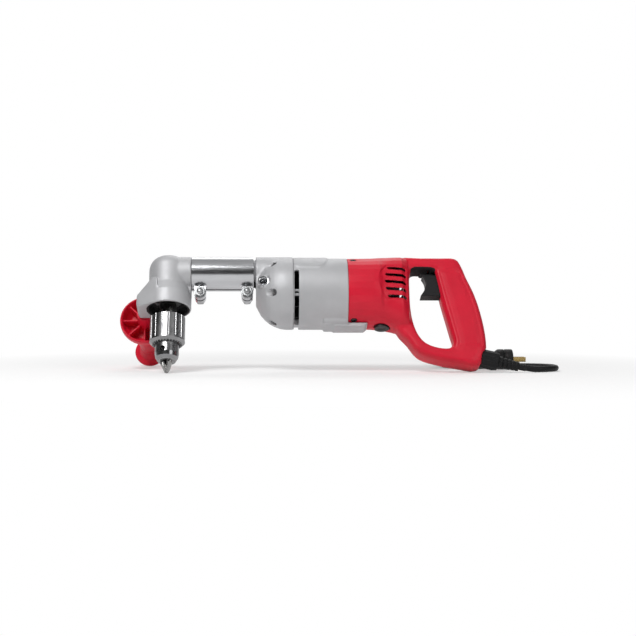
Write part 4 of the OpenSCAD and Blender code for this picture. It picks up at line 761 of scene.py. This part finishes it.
BOLT_X, BOLT_Z = (41.3, 102.3), -31.0
BOLT_HEAD_Y, WASHER_Y, NUT_Y = -10.3, -8.7, 8.6
BOLT_HEAD_FLATS, BOLT_HEAD_H = 12.6, 4.1
NUT_FLATS, NUT_H, NUT_BORE = 12.4, 5.3, 4.02
WASHER = [(4.2, 0), (7.6, 0), (7.9, 0.3), (7.9, 1.2), (7.6, 1.5), (4.2, 1.5), (4.2, 0)]
BOLT_TAIL = [(0, -17.0), (3.95, -17.0), (3.95, 15.8), (3.3, 16.8), (0, 16.8)]
NEAR, FAR = (0, -1, 0), (0, 1, 0)
for i, x in enumerate(BOLT_X):
    bolts, nuts = (("clamp_bolts",), ("clamp_nuts",)) if i == 0 else ((), ())
    hex_piece(f"clamp_bolt_head_{i}", BOLT_HEAD_FLATS, BOLT_HEAD_H, (x, BOLT_HEAD_Y, BOLT_Z), NEAR, bolts,
              spin=0.2 + i)
    lathe(f"clamp_washer_{i}", WASHER, (x, WASHER_Y, BOLT_Z), NEAR, "zinc_fasteners")
    hex_piece(f"clamp_nut_{i}", NUT_FLATS, NUT_H, (x, NUT_Y, BOLT_Z), FAR, nuts, NUT_BORE, spin=0.5)
    lathe(f"clamp_bolt_tail_{i}", BOLT_TAIL, (x, 0, BOLT_Z), FAR, "zinc_fasteners", steps=32)

SCREW_X, SCREW_SEAT_R, SCREW_HEAD_R, SCREW_RISE = 239.8, 44.2, 3.9, 1.9
SCREW_PLACES = [(angle, side) for angle in (130, 253) for side in (1, -1)]
for i, (angle, side) in enumerate(SCREW_PLACES):
    a = math.radians(angle)
    out = Vector((0.0, -math.cos(a) * side, math.sin(a)))
    at = Vector((SCREW_X, 0, MOTOR_Z)) + SCREW_SEAT_R * out
    screws = ("handle_front_screws",) if i == 0 else ()
    cross_screw(f"front_screw_{i}", SCREW_HEAD_R, SCREW_RISE, at, out, "dark_screws", screws)

BORE_R, BORE_DEPTH, BOSS_FACE_R = 4.76, 16.0, 7.7
for name, side in (("case_thread_left", -1), ("case_thread_right", 1)):
    mouth = (BORE_X, side * BORE_FACE_Y, BORE_Z)
    threaded_lining(name, BORE_R, BORE_DEPTH, BOSS_FACE_R, mouth, (0, side, 0))


# Ground, light and background

FLOOR_HALF = 6.0
FLOOR_GREY = 0.93
# Distance over the floor, and how far it has turned to plain white there
FLOOR_FADE = ((0.3, 0.35), (0.62, 1))
BLACK, WHITE = grey(0.0), grey(1.0)
# Height of a direction, and the grey of the surroundings there
FRONT_GREYS = ((0.0, 0.04), (0.55, 0.06), (0.8, 0.34), (0.97, 0.5))
# How far back a direction points, and the share of the light from behind there
BEHIND_SHARES = ((0.45, 0), (0.95, 1))
BEHIND_LIGHT = grey(0.55)


def clear_rays(nodes, links):
    """1 for rays that the camera, gloss or glass sends, so that they all show the white background."""
    path = nodes.new("ShaderNodeLightPath")
    most = path.outputs["Is Camera Ray"]
    for name in ("Is Glossy Ray", "Is Transmission Ray"):
        n = nodes.new("ShaderNodeMath")
        n.operation = "MAXIMUM"
        links.new(most, n.inputs[0])
        links.new(path.outputs[name], n.inputs[1])
        most = n.outputs["Value"]
    return most


def add_stage():
    """Pale floor that keeps the shadow near the object and turns to plain white further off."""
    me = bpy.data.meshes.new("floor")
    s = FLOOR_HALF
    me.from_pydata([(-s, -s, 0), (s, -s, 0), (s, s, 0), (-s, s, 0)], [], [(0, 1, 2, 3)])
    floor = new_object("floor", me)
    m, nodes, links, bsdf = new_material("floor")
    bsdf.inputs["Base Color"].default_value = (*grey(FLOOR_GREY), 1)
    bsdf.inputs["Roughness"].default_value = 0.7
    bsdf.inputs["Specular IOR Level"].default_value = 0.1
    tex = nodes.new("ShaderNodeTexCoord")
    distance = nodes.new("ShaderNodeVectorMath")
    distance.operation = "LENGTH"
    links.new(tex.outputs["Object"], distance.inputs[0])
    far = grey_ramp(nodes, links, distance.outputs["Value"], *FLOOR_FADE)
    seen = mix(nodes, links, clear_rays(nodes, links), BLACK, far)
    white = nodes.new("ShaderNodeEmission")
    blend = nodes.new("ShaderNodeMixShader")
    links.new(seen, blend.inputs["Fac"])
    links.new(bsdf.outputs["BSDF"], blend.inputs[1])
    links.new(white.outputs["Emission"], blend.inputs[2])
    links.new(blend.outputs["Shader"], nodes["Material Output"].inputs["Surface"])
    me.materials.append(m)


def add_world():
    """White to the camera. Gloss sees it dark in front, grey above and white behind."""
    world = bpy.data.worlds.new("studio")
    scene.world = world
    world.use_nodes = True
    nodes, links = world.node_tree.nodes, world.node_tree.links
    tex = nodes.new("ShaderNodeTexCoord")
    way = nodes.new("ShaderNodeSeparateXYZ")
    links.new(tex.outputs["Generated"], way.inputs["Vector"])
    front = grey_ramp(nodes, links, way.outputs["Z"], *FRONT_GREYS)
    behind = grey_ramp(nodes, links, way.outputs["Y"], *BEHIND_SHARES)
    lit = mix(nodes, links, behind, front, BEHIND_LIGHT)
    glossy = mix(nodes, links, behind, front, WHITE)
    shown = mix(nodes, links, clear_rays(nodes, links), lit, glossy)
    path = nodes.new("ShaderNodeLightPath")
    back = nodes["Background"]
    links.new(mix(nodes, links, path.outputs["Is Camera Ray"], shown, WHITE), back.inputs["Color"])
    back.inputs["Strength"].default_value = 1.0
    scene.view_settings.view_transform = "Standard"


def add_light(name, at, aim, size, power):
    data = bpy.data.lights.new(name, "AREA")
    data.shape = "RECTANGLE"
    data.size, data.size_y = size
    data.energy = power
    obj = new_object(name, data)
    obj.location = at
    obj.rotation_euler = (Vector(aim) - Vector(at)).to_track_quat("-Z", "Y").to_euler()


add_stage()
add_world()
add_light("key", at=(-0.62, -0.95, 1.25), aim=(0, 0, 0.08), size=(0.6, 0.5), power=17)
add_light("fill", at=(1.0, -1.2, 0.8), aim=(0.05, 0, 0.08), size=(0.8, 0.8), power=5)
add_light("rim", at=(0.2, 0.9, 1.2), aim=(0, 0, 0.1), size=(1.2, 0.5), power=5)
